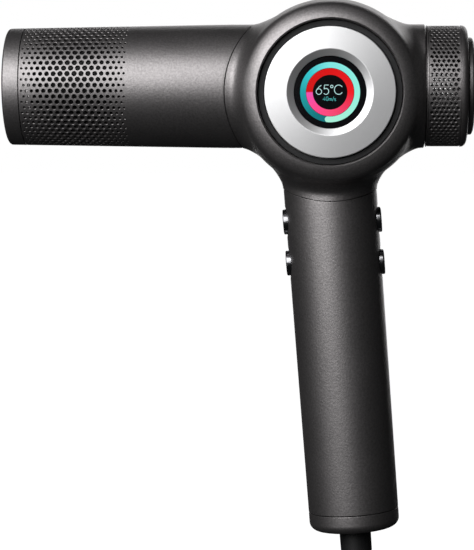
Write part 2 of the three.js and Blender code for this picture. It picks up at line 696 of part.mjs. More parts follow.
const head = new THREE.Group();
head.add(
  piece("outlet_ring", outletRing(), "gunmetal"),
  piece("outlet_grille", outletGrille(), "blackPlastic"),
  piece("ion_emitter", ionEmitter(), "steel"),
  piece("barrel_shell", barrelShell(), "gunmetal"),
  piece("air_guide", tubeX(GUIDE.inner, GUIDE.outer, GUIDE.frontX, GUIDE.backX, FINE), "blackPlastic"),
  piece("heater_sleeve", tubeX(HEATER.sleeve, HEATER.sleeve + 0.5, -118, -48, FINE), "mica"),
  piece("mica_board_upright", micaBoard(true), "mica"),
  piece("mica_board_level", micaBoard(false), "mica"),
  piece("heater_coil_front", heaterCoil(-110, -86, 6), "heaterWire"),
  piece("heater_coil_rear", heaterCoil(-80, -56, 6), "heaterWire"),
  piece("thermostat", thermostat(), "steel"),
  piece("thermal_fuse", thermalFuse(), "whitePlastic"),
  piece("hub_housing", hubHousing(), "gunmetal"),
  piece("hub_back_cover", hubBackCover(), "gunmetal"),
  piece("display_surround", displaySurround(), "blackPlastic"),
  piece("display_bezel", displayBezel(), "silver"),
  piece("display_lens", displayLens(), "blackGloss"),
  piece("display_module", displayModule(), "blackPlastic"),
  piece("display_board", displayBoard(), "board"),
  piece("motor_duct", motorDuct(), "blackPlastic"),
  piece("motor_mount_front", motorMount(-6), "blackRubber"),
  piece("motor_mount_rear", motorMount(20), "blackRubber"),
  piece("motor_housing", motorHousing(), "steel"),
  piece("motor_stator", motorStator(), "copper"),
  piece("bearing_front", bearing(MOTOR.frontX), "steel"),
  piece("bearing_rear", bearing(MOTOR.coreBackX - 2.4), "steel"),
  piece("rotor_shaft", rodX(ROTOR.shaft, MOTOR.frontX - 1, MOTOR.backX - 1, 12), "steel"),
  piece("rotor_magnet", tubeX(ROTOR.bore, ROTOR.magnet, -5, 10, SMALL), "magnet"),
  piece("impeller", impeller(), "steel"),
  piece("rear_seat_ring", rearSeatRing(), "blackPlastic"),
  piece("filter_cage", filterCage(), "gunmetal"),
  piece("filter_mesh", filterMesh(), "steelMesh"),
  piece("filter_end_cap", filterEndCap(), "gunmetal"),
);

const handle = new THREE.Group();
handle.applyMatrix4(handleFrame);
handle.add(
  piece("handle_shell", handleShell(), "gunmetal"),
  piece("handle_bottom_cap", handleBottomCap(), "gunmetal"),
  piece("button_board_front", buttonBoard(-1, FRONT_BUTTONS), "board"),
  piece("button_board_rear", buttonBoard(1, REAR_BUTTONS), "board"),
  piece("handle_chassis", handleChassis(), "blackPlastic"),
  piece("control_board", controlBoard(), "board"),
  piece("power_board", powerBoard(), "board"),
  piece("ion_module", ionModule(), "blackPlastic"),
  piece("cord_clamp", cordClamp(), "blackPlastic"),
  piece("clamp_screw_front", clampScrew(-8.4), "steel"),
  piece("clamp_screw_rear", clampScrew(8.4), "steel"),
  piece("strain_relief", strainRelief(), "blackRubber"),
);
for (const [end, side, places] of [["front", -1, FRONT_BUTTONS], ["rear", 1, REAR_BUTTONS]]) {
  for (const level of ["upper", "lower"]) {
    handle.add(piece(`button_seat_${end}_${level}`, buttonSeat(side, places[level]), "blackPlastic"));
    handle.add(piece(`button_${end}_${level}`, button(side, places[level]), "chrome"));
  }
}

const cord = new THREE.Group();
cord.add(
  piece("cord_lead", cordLead(), "blackRubber"),
  piece("cord_hank", cordHank(), "blackRubber"),
  piece("cord_tie", cordTie(), "blackRubber"),
  piece("cord_tail", cordTail(), "blackRubber"),
  piece("plug_body", plugBody(), "blackRubber"),
  piece("plug_pin_left", plugPin(-1), "brass"),
  piece("plug_pin_right", plugPin(1), "brass"),
);

const dryer = new THREE.Group();
dryer.add(head, handle, cord);
dryer.position.copy(down(GRIP.middle)).negate();

const hairDryer = new THREE.Group();
hairDryer.add(dryer);

export default hairDryer;
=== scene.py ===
# %% [markdown]
# # A handheld hair dryer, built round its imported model
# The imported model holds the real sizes, the pieces and the joints. This lesson keeps all of that
# and gives each piece the surface that a hand and an eye would meet on the real dryer: a satin
# metallic body, rows of tiny vent holes, a silver dial with a lit display, polished buttons, a
# fine steel filter, and a rubber cord folded into a hank.
# Measures are written in millimetres and turned into metres as a piece is placed.

# %% Load the frame
import json
import math

import bmesh
import bpy
import numpy as np
from mathutils import Matrix, Vector


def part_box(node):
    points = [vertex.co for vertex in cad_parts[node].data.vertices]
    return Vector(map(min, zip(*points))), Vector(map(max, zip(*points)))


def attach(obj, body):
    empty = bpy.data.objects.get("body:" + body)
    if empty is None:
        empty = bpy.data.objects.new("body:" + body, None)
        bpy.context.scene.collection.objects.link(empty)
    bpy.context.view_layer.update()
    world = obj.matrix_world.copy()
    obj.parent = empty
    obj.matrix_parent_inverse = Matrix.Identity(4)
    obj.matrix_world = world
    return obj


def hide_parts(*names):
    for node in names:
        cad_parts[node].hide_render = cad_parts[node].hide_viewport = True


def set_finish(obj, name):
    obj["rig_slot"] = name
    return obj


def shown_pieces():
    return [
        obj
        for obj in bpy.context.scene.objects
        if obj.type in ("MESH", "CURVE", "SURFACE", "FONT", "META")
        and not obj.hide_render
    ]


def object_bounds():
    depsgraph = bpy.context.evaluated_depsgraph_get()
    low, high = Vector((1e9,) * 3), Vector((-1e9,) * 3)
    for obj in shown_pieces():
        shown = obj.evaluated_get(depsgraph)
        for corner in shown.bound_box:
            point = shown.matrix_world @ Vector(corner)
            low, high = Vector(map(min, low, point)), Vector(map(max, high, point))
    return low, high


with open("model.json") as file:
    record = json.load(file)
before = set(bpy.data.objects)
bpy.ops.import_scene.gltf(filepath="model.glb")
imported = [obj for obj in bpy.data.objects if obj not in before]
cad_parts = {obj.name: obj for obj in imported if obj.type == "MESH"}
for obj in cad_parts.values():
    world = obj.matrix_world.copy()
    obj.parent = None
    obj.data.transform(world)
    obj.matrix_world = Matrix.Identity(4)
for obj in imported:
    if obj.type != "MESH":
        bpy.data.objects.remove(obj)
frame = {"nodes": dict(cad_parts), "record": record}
packed_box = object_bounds()
MM = 0.001
X = Vector((1, 0, 0))
Y = Vector((0, 1, 0))
Z = Vector((0, 0, 1))
print("packed size in mm:", [round(side / MM, 1) for side in packed_box[1] - packed_box[0]])

# %% [markdown]
# ## Three axes hold the whole dryer
# Nearly every piece of a hair dryer is turned about an axis: the dial and its ring about the
# hub's axis, the barrel, motor and filter about the air's axis, and the grip about its own. Each
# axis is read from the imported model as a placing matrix, whose local Z runs along the axis and
# whose unit is a millimetre, so no piece needs fitting later.

# %% The hub's, the air's and the handle's axes


def axis_place(origin, along, across):
    """A placing matrix: local Z runs along, local X across, in millimetres."""
    up = along.cross(across)
    turn = Matrix((across, up, along)).transposed().to_4x4()
    return Matrix.Translation(origin) @ turn @ Matrix.Scale(MM, 4)


def middle_of(node):
    low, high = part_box(node)
    return (low + high) / 2


grip_mount = next(m for m in frame["record"]["mounts"] if m["name"] == "hand_grip")
hub = middle_of("display_bezel")
hub.y = 0
air = Vector((hub.x, 0, middle_of("outlet_ring").z))
down = Vector(grip_mount["axis"]).normalized()
rear = Y.cross(down).normalized() * -1
if rear.x < 0:
    rear = -rear
grip_drop = -hub.z / down.z
handle_top = Vector(grip_mount["pos_m"]) - down * grip_drop

FACE = axis_place(hub, Y, Z)
AIR = axis_place(air, X, Y)
HANDLE = axis_place(handle_top, down, Y)
AIR_HEIGHT = (air.z - hub.z) / MM
print("air axis", round(AIR_HEIGHT, 2), "mm above the hub's")
print("grip middle", round(grip_drop / MM, 1), "mm down")


def from_hub(x, y, z):
    """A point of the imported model's frame, given in millimetres from the hub's centre."""
    return hub + Vector((x, y, z)) * MM


def down_handle(distance):
    """A point on the handle's axis, in millimetres from the hub's centre."""
    return (handle_top - hub + down * distance * MM) / MM


def span_of(node):
    """Where a node starts and ends along the air's axis, in millimetres from the hub's centre."""
    low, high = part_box(node)
    return (low.x - hub.x) / MM, (high.x - hub.x) / MM


# %% [markdown]
# ## The camera
# The dryer is looked at nearly square on from its display side, from a good arm's length, with
# the lens a little below the hub and the view turned slightly to the barrel's side. A long lens
# keeps the round dial round. A plain camera aimed at a point does it, with no lens shift.

# %% Place the camera
CAMERA_SPOT = from_hub(7.9, -848, -20.28)
CAMERA_AIM = from_hub(-39.2, 0, -75.8)
LENS_MM = 132.4

camera_data = bpy.data.cameras.new("camera")
camera_data.lens = LENS_MM
camera_data.sensor_width = 36
camera_data.clip_start = 0.01
camera = bpy.data.objects.new("camera", camera_data)
camera.location = CAMERA_SPOT
camera.rotation_euler = (CAMERA_AIM - CAMERA_SPOT).to_track_quat("-Z", "Y").to_euler()
bpy.context.scene.collection.objects.link(camera)
bpy.context.scene.camera = camera
print("camera", round((CAMERA_AIM - CAMERA_SPOT).length, 3), "m from its aim")

# %% [markdown]
# ## The mains cord
# A dryer's flex is about 1.8 m of 7 mm rubber cable. It drops out of the strain relief and the
# rest is folded into a hank, as it is sold and stored. The free stretch is a few listed points,
# and the hank is a loop: long runs joined by half circles. Each turn moves one cord's width
# sideways in the bottom bend, first three layers deep on the inner ring and then back to the
# front on the outer one, so that no turn passes through another.

# %% The route of the cord
CORD_RADIUS = 3.5
CORD_PITCH = 7.2
HANK_MIDDLE = (16, -332.5)
HANK_RUN = 85
INNER_TURN = 21
RELIEF_END = 217
exit_point = down_handle(RELIEF_END + 0.3)
hank_top = HANK_MIDDLE[1] + HANK_RUN / 2 + INNER_TURN + CORD_PITCH + CORD_RADIUS + 0.3
front_layer = -CORD_PITCH
LEAD = [
    exit_point,
    down_handle(RELIEF_END + 8),
    Vector((15.4, -2, exit_point.z - 18)),
    Vector((15.9, -5, exit_point.z - 26)),
    Vector((16, front_layer, hank_top + 7)),
    Vector((16, front_layer, hank_top)),
    Vector((15.4, front_layer, hank_top - 14)),
    Vector((12, -7, hank_top - 28)),
    Vector((5, -5.4, hank_top - 44)),
    Vector((-1.5, -3, hank_top - 60)),
    Vector((-4.6, -0.8, hank_top - 75)),
    Vector((-5, 0, hank_top - 88)),
]


def smooth_through(knots, steps=6):
    """A Catmull-Rom curve through the knots."""
    ends = [2 * knots[0] - knots[1], *knots, 2 * knots[-1] - knots[-2]]
    curve = []
    for before, start, stop, after in zip(ends, ends[1:], ends[2:], ends[3:]):
        for step in range(steps):
            t = step / steps
            bend = (2 * before - 5 * start + 4 * stop - after) * t * t
            swing = (3 * start - before - 3 * stop + after) * t ** 3
            curve.append((2 * start + (stop - before) * t + bend + swing) / 2)
    return curve + [knots[-1]]


def half_turn(side, radii, layers, steps=18):
    """Half a circle of the hank: side 1 over the top, from right to left, and -1 under the
    bottom, from left to right, moving from one ring and layer to the next."""
    middle_x, middle_z = HANK_MIDDLE
    bend = []
    for step in range(steps + 1):
        share = step / steps
        ease = math.sin(share * math.pi / 2)
        if layers[1] < layers[0]:
            layer_share = 1 - (1 - ease) ** 2
        else:
            layer_share = 1 - math.cos(share * math.pi / 2)
        radius = radii[0] + (radii[1] - radii[0]) * ease
        layer = layers[0] + (layers[1] - layers[0]) * layer_share
        angle = math.pi * (share if side > 0 else 1 + share)
        x = middle_x + radius * math.cos(angle)
        z = middle_z + side * HANK_RUN / 2 + radius * math.sin(angle)
        bend.append(Vector((x, layer, z)))
    return bend


outer_turn = INNER_TURN + CORD_PITCH
bottoms = [
    ((INNER_TURN, INNER_TURN), (0, CORD_PITCH)),
    ((INNER_TURN, INNER_TURN), (CORD_PITCH, 2 * CORD_PITCH)),
    ((INNER_TURN, outer_turn), (2 * CORD_PITCH, 2 * CORD_PITCH)),
    ((outer_turn, outer_turn), (2 * CORD_PITCH, CORD_PITCH)),
    ((outer_turn, outer_turn), (CORD_PITCH, 0)),
]
ROUTE_STEP = 3.5
PLUG_TOP = HANK_MIDDLE[1] - 80.5
route = smooth_through(LEAD)
for radii, layers in bottoms:
    route += half_turn(-1, radii, layers)
    route += half_turn(1, (radii[1], radii[1]), (layers[1], layers[1]))
tail_x = HANK_MIDDLE[0] - outer_turn
route.append(Vector((tail_x, 0, PLUG_TOP - 4)))


def evenly(points, step):
    """The same line with points a step apart, and its length."""
    line = np.array([tuple(p) for p in points])
    along = np.concatenate([[0], np.cumsum(np.linalg.norm(np.diff(line, axis=0), axis=1))])
    at = np.linspace(0, along[-1], int(along[-1] / step) + 1)
    return np.stack([np.interp(at, along, line[:, k]) for k in range(3)], axis=1), along[-1]


route, cord_length = evenly(route, ROUTE_STEP)
for _ in range(2):
    route[1:-1] = (route[:-2] + 2 * route[1:-1] + route[2:]) / 4
print("cord", round(cord_length * MM, 3), "m long in", len(route), "points")

# %% [markdown]
# ## Tools for turned pieces
# A lathe turns an outline of corners about an axis. On the real dryer no edge is knife sharp:
# each is broken by a small radius, which is what catches the light. So every corner of an outline
# is cut to a small arc before it is turned. A corner may carry its own radius as a third number.
# The outline may also be a function of the angle, for an end that is cut to a curve.

# %% Ease an outline's corners


def eased(corners, size, closed):
    """The outline with each corner cut back by its size and rounded."""
    points = []
    count = len(corners)
    for i, (radius, along, *own) in enumerate(corners):
        here = np.array((radius, along), float)
        reach = own[0] if own else size
        if reach == 0 or (not closed and i in (0, count - 1)):
            points.append(here)
            continue
        back = np.array(corners[i - 1][:2], float) - here
        on = np.array(corners[(i + 1) % count][:2], float) - here
        back_long, on_long = np.linalg.norm(back), np.linalg.norm(on)
        cut = min(reach, 0.49 * back_long, 0.49 * on_long)
        back, on = back / back_long, on / on_long
        weight = math.sqrt(max(0.02, (1 - float(back @ on)) / 2))
        steps = 3 + int(2 * min(cut, 5))
        for t in np.linspace(0, 1, steps):
            a, b, c = (1 - t) ** 2, 2 * t * (1 - t) * weight, t * t
            points.append((a * (here + back * cut) + b * here + c * (here + on * cut)) / (a + b + c))
    return points


# %% Turn an outline about an axis


def turned(corners, place, sides=128, size=0.2):
    """Points and faces of an outline of (radius, distance along) corners, turned about local Z."""
    outline_at = corners if callable(corners) else (lambda angle: corners)
    first = outline_at(0)
    closed = not (first[0][0] == 0 and first[-1][0] == 0)
    angles = [2 * math.pi * i / sides for i in range(sides)]
    outlines = [eased(outline_at(angle), size, closed) for angle in angles]
    points, rings = [], []
    for k in range(len(outlines[0])):
        if outlines[0][k][0] < 1e-6:
            rings.append([len(points)] * sides)
            points.append((0, 0, outlines[0][k][1]))
            continue
        rings.append(range(len(points), len(points) + sides))
        for angle, outline in zip(angles, outlines):
            radius, along = outline[k]
            points.append((radius * math.cos(angle), radius * math.sin(angle), along))
    return [place @ Vector(p) for p in points], ring_faces(rings, closed)


def hoop(inner, outer, start, stop, ease=0):
    """The outline of a plain ring, with its four corners."""
    return [(inner, start, ease), (outer, start, ease), (outer, stop, ease), (inner, stop, ease)]


def rod(radius, start, stop):
    """The outline of a plain rod with sharp edges."""
    return [(0, start), (radius, start, 0), (radius, stop, 0), (0, stop)]


def ring_faces(rings, closed):
    """The faces between rings of points, each ring closed on itself."""
    faces = []
    following = list(rings[1:]) + ([rings[0]] if closed else [])
    for one, two in zip(rings, following):
        sides = len(one)
        for i in range(sides):
            j = (i + 1) % sides
            corners = [one[i], one[j], two[j], two[i]]
            face = [c for n, c in enumerate(corners) if c != corners[n - 1]]
            if len(face) > 2:
                faces.append(face)
    return faces


def skinned(sections, closed=False):
    """Points and faces of a skin over a row of sections. The row's ends are closed, unless it
    closes on itself."""
    points = [point for section in sections for point in section]
    count = len(sections[0])
    rings = [list(range(i * count, i * count + count)) for i in range(len(sections))]
    ends = [] if closed else [rings[0], rings[-1]]
    return points, ring_faces(rings, closed) + ends


# %% Make a piece, and join or cut pieces


def mesh_of(name, shape):
    """A mesh with its faces turned outwards."""
    points, faces = shape
    mesh = bpy.data.meshes.new(name)
    mesh.from_pydata([tuple(p) for p in points], [], [list(f) for f in faces])
    work = bmesh.new()
    work.from_mesh(mesh)
    bmesh.ops.recalc_face_normals(work, faces=work.faces)
    work.to_mesh(mesh)
    work.free()
    return mesh


def shaded(piece, crease=32):
    """Smooth shading that stays crisp where faces meet at more than the crease angle."""
    mesh = piece.data
    mesh.polygons.foreach_set("use_smooth", [True] * len(mesh.polygons))
    mesh.set_sharp_from_angle(angle=math.radians(crease))
    mesh.update()
    return piece


def make_piece(name, shape, slot, body="body", replaces=(), crease=32):
    """A named piece that rides on its body and says which finish it takes."""
    piece = bpy.data.objects.new(name, mesh_of(name, shape))
    bpy.context.scene.collection.objects.link(piece)
    shaded(piece, crease)
    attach(piece, body)
    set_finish(piece, slot)
    if replaces:
        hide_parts(*replaces)
    return piece


def carve(piece, shapes, operation="DIFFERENCE", crease=32):
    """Cuts shapes out of a piece, or joins them to it."""
    for shape in shapes:
        tool = bpy.data.objects.new("tool", mesh_of("tool", shape))
        bpy.context.scene.collection.objects.link(tool)
        cut = piece.modifiers.new("cut", "BOOLEAN")
        cut.operation = operation
        cut.solver = "MANIFOLD"
        cut.object = tool
        bpy.context.view_layer.update()
        seen = piece.evaluated_get(bpy.context.evaluated_depsgraph_get())
        carved = bpy.data.meshes.new_from_object(seen)
        piece.modifiers.clear()
        piece.data = carved
        bpy.data.objects.remove(tool)
    return shaded(piece, crease)


def block(place, low, high):
    """A plain box between two corners, as a cutting or joining shape."""
    (x0, y0, z0), (x1, y1, z1) = low, high
    points = [place @ Vector((x, y, z)) for x in (x0, x1) for y in (y0, y1) for z in (z0, z1)]
    faces = [(0, 1, 3, 2), (4, 6, 7, 5), (0, 4, 5, 1), (2, 3, 7, 6), (0, 2, 6, 4), (1, 5, 7, 3)]
    return points, faces


# %% The cord as one tube


def tube_along(points, radius, sides=20):
    """Points and faces of a round tube that follows a line without twisting."""
    line = np.array([tuple(p) for p in points])
    ways = np.gradient(line, axis=0)
    ways /= np.linalg.norm(ways, axis=1)[:, None]
    across = np.cross(ways[0], (0, 1, 0))
    turns = [2 * math.pi * i / sides for i in range(sides)]
    sections = []
    for place, way in zip(line, ways):
        across = across - way * (across @ way)
        across /= np.linalg.norm(across)
        up = np.cross(way, across)
        ring = [place + radius * (across * math.cos(turn) + up * math.sin(turn)) for turn in turns]
        sections.append([from_hub(*p) for p in ring])
    return skinned(sections)


mains_cord = make_piece(
    "mains_cord", tube_along(route, CORD_RADIUS), "cord_rubber",
    replaces=["cord_lead", "cord_hank", "cord_tail"], crease=60,
)

# %% [markdown]
# ## The hub
# The hub is one casting: a round drum for the dial, a short root for the barrel, a neck for the
# filter and a root for the handle, flowing into each other with soft fillets. Bevelling boolean
# edges rarely gives such fillets. Instead each form is written as a distance, the distances are
# blended with a rounded join, and the blended surface is skinned with a fine net of quads that is
# pulled exactly onto it. The sharp recess and seams are cut afterwards.

# %% Distances of the hub's forms
HUB = {"radius": 39.0, "front": -33.2, "back": 32.0, "fillet": 5.5}
SHOULDER = {"front": 11.8, "back": 9.7}
FLANK = {"radius": 36.3, "y": -29.0, "lean": math.radians(10.7), "soften": 1.2}
BARREL_ROOT = 25.7
NECK_RADIUS = 25.6
GRIP_ROOT = 19.6
BARREL_STUB, NECK_STUB, GRIP_STUB = 50, 43, 53


def rounded_join(one, two, radius):
    """The union of two distances, with a fillet of that radius."""
    reach = np.hypot(np.maximum(radius - one, 0), np.maximum(radius - two, 0))
    return np.maximum(radius, np.minimum(one, two)) - reach


def hub_distance(points):
    """How far each point, in millimetres from the hub's centre, is outside the casting."""
    x, y, z = points.T
    shoulder = np.where(y < 0, SHOULDER["front"], SHOULDER["back"])
    half = (HUB["back"] - HUB["front"]) / 2
    middle = (HUB["back"] + HUB["front"]) / 2
    outward = np.hypot(x, z) - (HUB["radius"] - shoulder)
    endward = np.abs(y - middle) - (half - shoulder)
    drum = np.hypot(np.maximum(outward, 0), np.maximum(endward, 0))
    drum += np.minimum(np.maximum(outward, endward), 0) - shoulder
    flank = np.hypot(x, z) - FLANK["radius"] - (y - FLANK["y"]) * math.tan(FLANK["lean"])
    drum = -rounded_join(-drum, -flank * math.cos(FLANK["lean"]), FLANK["soften"])
    from_air = np.hypot(y, z - AIR_HEIGHT)
    barrel = np.maximum(from_air - BARREL_ROOT, np.maximum(x, -x - BARREL_STUB))
    neck = np.maximum(from_air - NECK_RADIUS, np.maximum(-x, x - NECK_STUB))
    away = points - np.array(down_handle(0))
    along = away @ np.array(down)
    across = away - along[:, None] * np.array(down)
    from_grip = np.linalg.norm(across, axis=1)
    grip = np.maximum(from_grip - GRIP_ROOT, np.maximum(-along, along - GRIP_STUB))
    casting = drum
    for form in (barrel, neck, grip):
        casting = rounded_join(casting, form, HUB["fillet"])
    return casting


# %% Skin a distance with a net of quads
NET_LOW, NET_HIGH, NET_STEP = (-52, -35, -56), (46, 34, 42), 0.9
EVENING_ROUNDS = 4


def slopes(distance, points, reach=0.05):
    """The direction in which the distance grows."""
    steps = np.eye(3) * reach
    rises = [distance(points + step) - distance(points - step) for step in steps]
    return np.stack(rises, axis=1) / (2 * reach)


def pulled_onto(distance, points, rounds=3):
    for _ in range(rounds):
        slope = slopes(distance, points)
        far = distance(points) / np.maximum((slope ** 2).sum(axis=1), 1e-6)
        points = points - slope * far[:, None]
    return points


def net_over(distance, low, high, step):
    """Points and quads on the zero surface of a distance: one point for each cell it crosses."""
    axes = [np.arange(a, b + step, step) for a, b in zip(low, high)]
    grid = np.stack(np.meshgrid(*axes, indexing="ij"), axis=-1)
    inside = (distance(grid.reshape(-1, 3)) < 0).reshape(grid.shape[:3])
    wide, deep, tall = [count - 1 for count in inside.shape]
    corners = sum(
        inside[i:wide + i, j:deep + j, k:tall + k].astype(int)
        for i in (0, 1) for j in (0, 1) for k in (0, 1)
    )
    crossed = (corners > 0) & (corners < 8)
    number = np.full(crossed.shape, -1)
    number[crossed] = np.arange(crossed.sum())
    points = grid[:-1, :-1, :-1][crossed] + step / 2
    quads = []
    for axis in range(3):
        other = [a for a in range(3) if a != axis]
        change = np.diff(inside.astype(int), axis=axis) != 0
        at = np.argwhere(change)
        most = np.array(crossed.shape)[other]
        at = at[(at[:, other] > 0).all(axis=1) & (at[:, other] < most).all(axis=1)]
        around = []
        for a, b in ((1, 1), (0, 1), (0, 0), (1, 0)):
            cell = at.copy()
            cell[:, other[0]] -= a
            cell[:, other[1]] -= b
            around.append(number[tuple(cell.T)])
        quads.append(np.stack(around, axis=1))
    quads = np.concatenate(quads)
    points = pulled_onto(distance, points)
    for _ in range(EVENING_ROUNDS):
        total = np.zeros_like(points)
        share = np.zeros(len(points))
        for a, b in ((0, 1), (1, 2), (2, 3), (3, 0)):
            for one, two in ((a, b), (b, a)):
                np.add.at(total, quads[:, one], points[quads[:, two]])
                np.add.at(share, quads[:, one], 1)
        evened = 0.4 * points + 0.6 * total / share[:, None]
        points = pulled_onto(distance, evened, 1)
    return points, quads.tolist()


net_points, net_quads = net_over(hub_distance, NET_LOW, NET_HIGH, NET_STEP)
print("hub skin:", len(net_points), "points")

# %% [markdown]
# The recess for the dial, the seams and the air bore are cut with turned shapes. Each seam is an
# arc about the hub's axis, because the barrel and the handle end in a hollow that fits round it.

# %% Cut the hub's recess, seams and bore
CHANNEL_RADIUS = 29.4
CHANNEL_FLOOR = -26.4
BARREL_SEAM = 43.0
GRIP_SEAM = 44.2
NECK_END = 38.7
SEAM_GAP = 0.3
SEAM_REACH, SEAM_DEPTH = 75, 40
AIR_BORE = 23.7


def ring_sector(inner, outer, half_depth, start, stop, steps=48):
    """A thick piece of a ring about the hub's axis, from one angle to another."""
    sections = []
    for step in range(steps + 1):
        angle = math.radians(start + (stop - start) * step / steps)
        sections.append([
            from_hub(radius * math.cos(angle), y, radius * math.sin(angle))
            for radius, y, *_ in hoop(inner, outer, -half_depth, half_depth)
        ])
    return skinned(sections)


hub_casting = make_piece(
    "hub_casting", ([from_hub(*p) for p in net_points], net_quads), "gunmetal_paint",
    replaces=["hub_housing"],
)
recess = [(0, -40), (CHANNEL_RADIUS + 1.5, -40, 0), (CHANNEL_RADIUS + 0.55, -32.75, 0.1),
          (CHANNEL_RADIUS, -32.2, 0.1), (CHANNEL_RADIUS, CHANNEL_FLOOR, 0.3), (0, CHANNEL_FLOOR)]
cavity = [(0, -24.9), (35.3, -24.9), (37.3, -21), (37.3, 22), (33.3, 29.6), (0, 29.6)]
neck_face = [(0, NECK_END), (24.9, NECK_END, 0), (25.3, NECK_END, 0), (26.6, NECK_END - 1.3, 0),
             (40, NECK_END - 1.3, 0), (40, 60, 0), (0, 60)]
carve(hub_casting, [
    ring_sector(BARREL_SEAM - SEAM_GAP / 2, SEAM_REACH, SEAM_DEPTH, 140, 222),
    ring_sector(GRIP_SEAM - SEAM_GAP / 2, SEAM_REACH, SEAM_DEPTH, 232, 312),
    turned(neck_face, AIR),
    turned(recess, FACE, 192),
    turned(cavity, FACE, 96),
    turned(rod(AIR_BORE, -60, 50), AIR, 96),
    turned(rod(17.4, 20, 62), HANDLE, 96),
    turned(rod(28.3, 28, 40), FACE, 96),
])
print("hub casting:", len(hub_casting.data.polygons), "faces")

# %% [markdown]
# ## The dial, seen from the front
# A satin silver ring sits proud of a black channel. Its face is very slightly crowned, so that it
# shades from bright to grey across its width, and its inner edge dishes down to the black lens.

# %% Turn the dial's silver ring, its black surround and its lens
BEZEL_RADIUS = 26.5
BEZEL_CREST = -33.0
BEZEL_RIM = -32.2
SIGHT = 14.6
DISH = 17.4
LENS_FACE = -31.2
LENS_RADIUS = 15.7
DIAL_FLOOR = -26.7
bezel = [(DISH, BEZEL_CREST, 0.25), (BEZEL_RADIUS, BEZEL_RIM, 0.4), (BEZEL_RADIUS, DIAL_FLOOR, 0.1),
         (16, DIAL_FLOOR, 0.1), (16, LENS_FACE - 0.2, 0.05), (SIGHT, LENS_FACE - 0.2, 0.05),
         (SIGHT, -31.8, 0.15)]
make_piece(
    "dial_ring", turned(bezel, FACE, 224), "satin_silver", replaces=["display_bezel"], crease=40,
)
surround = [(26.8, -29.3, 0.3), (29.1, -29.3, 0.3), (29.1, DIAL_FLOOR, 0.1), (26.8, DIAL_FLOOR, 0.1)]
make_piece("dial_surround", turned(surround, FACE, 160), "black_plastic", replaces=["display_surround"])
lens = [(0, LENS_FACE), (SIGHT - 0.3, LENS_FACE, 0), (LENS_RADIUS, LENS_FACE + 0.1, 0.1),
        (LENS_RADIUS, LENS_FACE + 0.9, 0.1), (0, LENS_FACE + 0.9)]
make_piece("dial_lens", turned(lens, FACE, 128), "display_glass", replaces=["display_lens"])

# %% [markdown]
# ## What the display shows
# Under the black glass two rings of light show heat in red and air in green, and thin figures
# give the temperature and the air speed. They are laid on the lens as a film thinner than a
# hair, so that they stay crisp, with the same gloss over them as the glass. The figures are drawn
# as pen strokes, as a small screen draws them.

# %% Lay the two rings of light
FILM = 0.04
FILM_ROOT = LENS_FACE + 0.02
AIR_RING = (9.75, 12.05)
HEAT_RING = (6.97, 9.59)
TIP_CLOCK = 185

for name, ring in (("air_ring_light", AIR_RING), ("heat_ring_light", HEAT_RING)):
    band = hoop(*ring, LENS_FACE - FILM, FILM_ROOT)
    make_piece(name, turned(band, FACE, 160), "display_glass")
tip_turn = math.radians(TIP_CLOCK)
tip_out = sum(AIR_RING) / 2
tip_radius = (AIR_RING[1] - AIR_RING[0]) / 2
tip_middle = from_hub(tip_out * math.sin(tip_turn), 0, tip_out * math.cos(tip_turn))
tip = rod(tip_radius, LENS_FACE - FILM * 1.2, FILM_ROOT)
make_piece("air_ring_tip", turned(tip, axis_place(tip_middle, Y, X), 48), "display_glass")

# %% Draw the figures as pen strokes


def oval(x, y, across, tall, start, stop, steps=14):
    """Points on part of an oval, by clock angles."""
    turns = [math.radians(start + (stop - start) * i / steps) for i in range(steps + 1)]
    return [(x + across * math.sin(t), y + tall * math.cos(t)) for t in turns]


STROKES = {
    "6": [oval(0.3, 0.3, 0.3, 0.3, 0, 360), [(0.56, 0.98), (0.3, 0.78), (0.06, 0.48), (0.0, 0.3)]],
    "5": [[(0.56, 1), (0.12, 1), (0.08, 0.58)] + oval(0.28, 0.32, 0.3, 0.32, -35, 230)],
    "4": [[(0.46, 0), (0.46, 1), (0.0, 0.28), (0.64, 0.28)]],
    "0": [oval(0.28, 0.5, 0.28, 0.5, 0, 360, 20)],
    "degree": [oval(0.14, 0.84, 0.14, 0.14, 0, 360)],
    "C": [oval(0.46, 0.5, 0.46, 0.5, 55, -235, 20)],
    "m": [[(0, 0), (0, 0.55)], [(0, 0.4)] + oval(0.17, 0.38, 0.17, 0.17, -90, 90, 6) + [(0.34, 0)],
          [(0.34, 0.4)] + oval(0.51, 0.38, 0.17, 0.17, -90, 90, 6) + [(0.68, 0)]],
    "slash": [[(0, -0.1), (0.34, 1)]],
    "s": [oval(0.2, 0.42, 0.18, 0.14, 60, -120, 8) + oval(0.2, 0.13, 0.18, 0.14, 30, 240, 8)],
}
ADVANCE = {"6": 0.78, "5": 0.76, "4": 0.8, "0": 0.74, "degree": 0.42, "C": 0.95, "m": 0.86,
           "slash": 0.48, "s": 0.5}


def pen_stroke(line, width, lift):
    """A thin flat ribbon along a line of (x, z) points, in millimetres from the hub's centre."""
    ways = np.gradient(line, axis=0)
    ways /= np.linalg.norm(ways, axis=1)[:, None]
    sides = np.stack([-ways[:, 1], ways[:, 0]], axis=1) * width / 2
    if np.allclose(line[0], line[-1], atol=1e-3):
        sides[0] = sides[-1] = (sides[0] + sides[-1]) / 2
    sections = []
    for (x, z), (side_x, side_z) in zip(line, sides):
        sections.append([
            from_hub(x + sign * side_x, LENS_FACE + y, z + sign * side_z)
            for sign, y in ((1, -lift), (-1, -lift), (-1, 0.02), (1, 0.02))
        ])
    return skinned(sections)


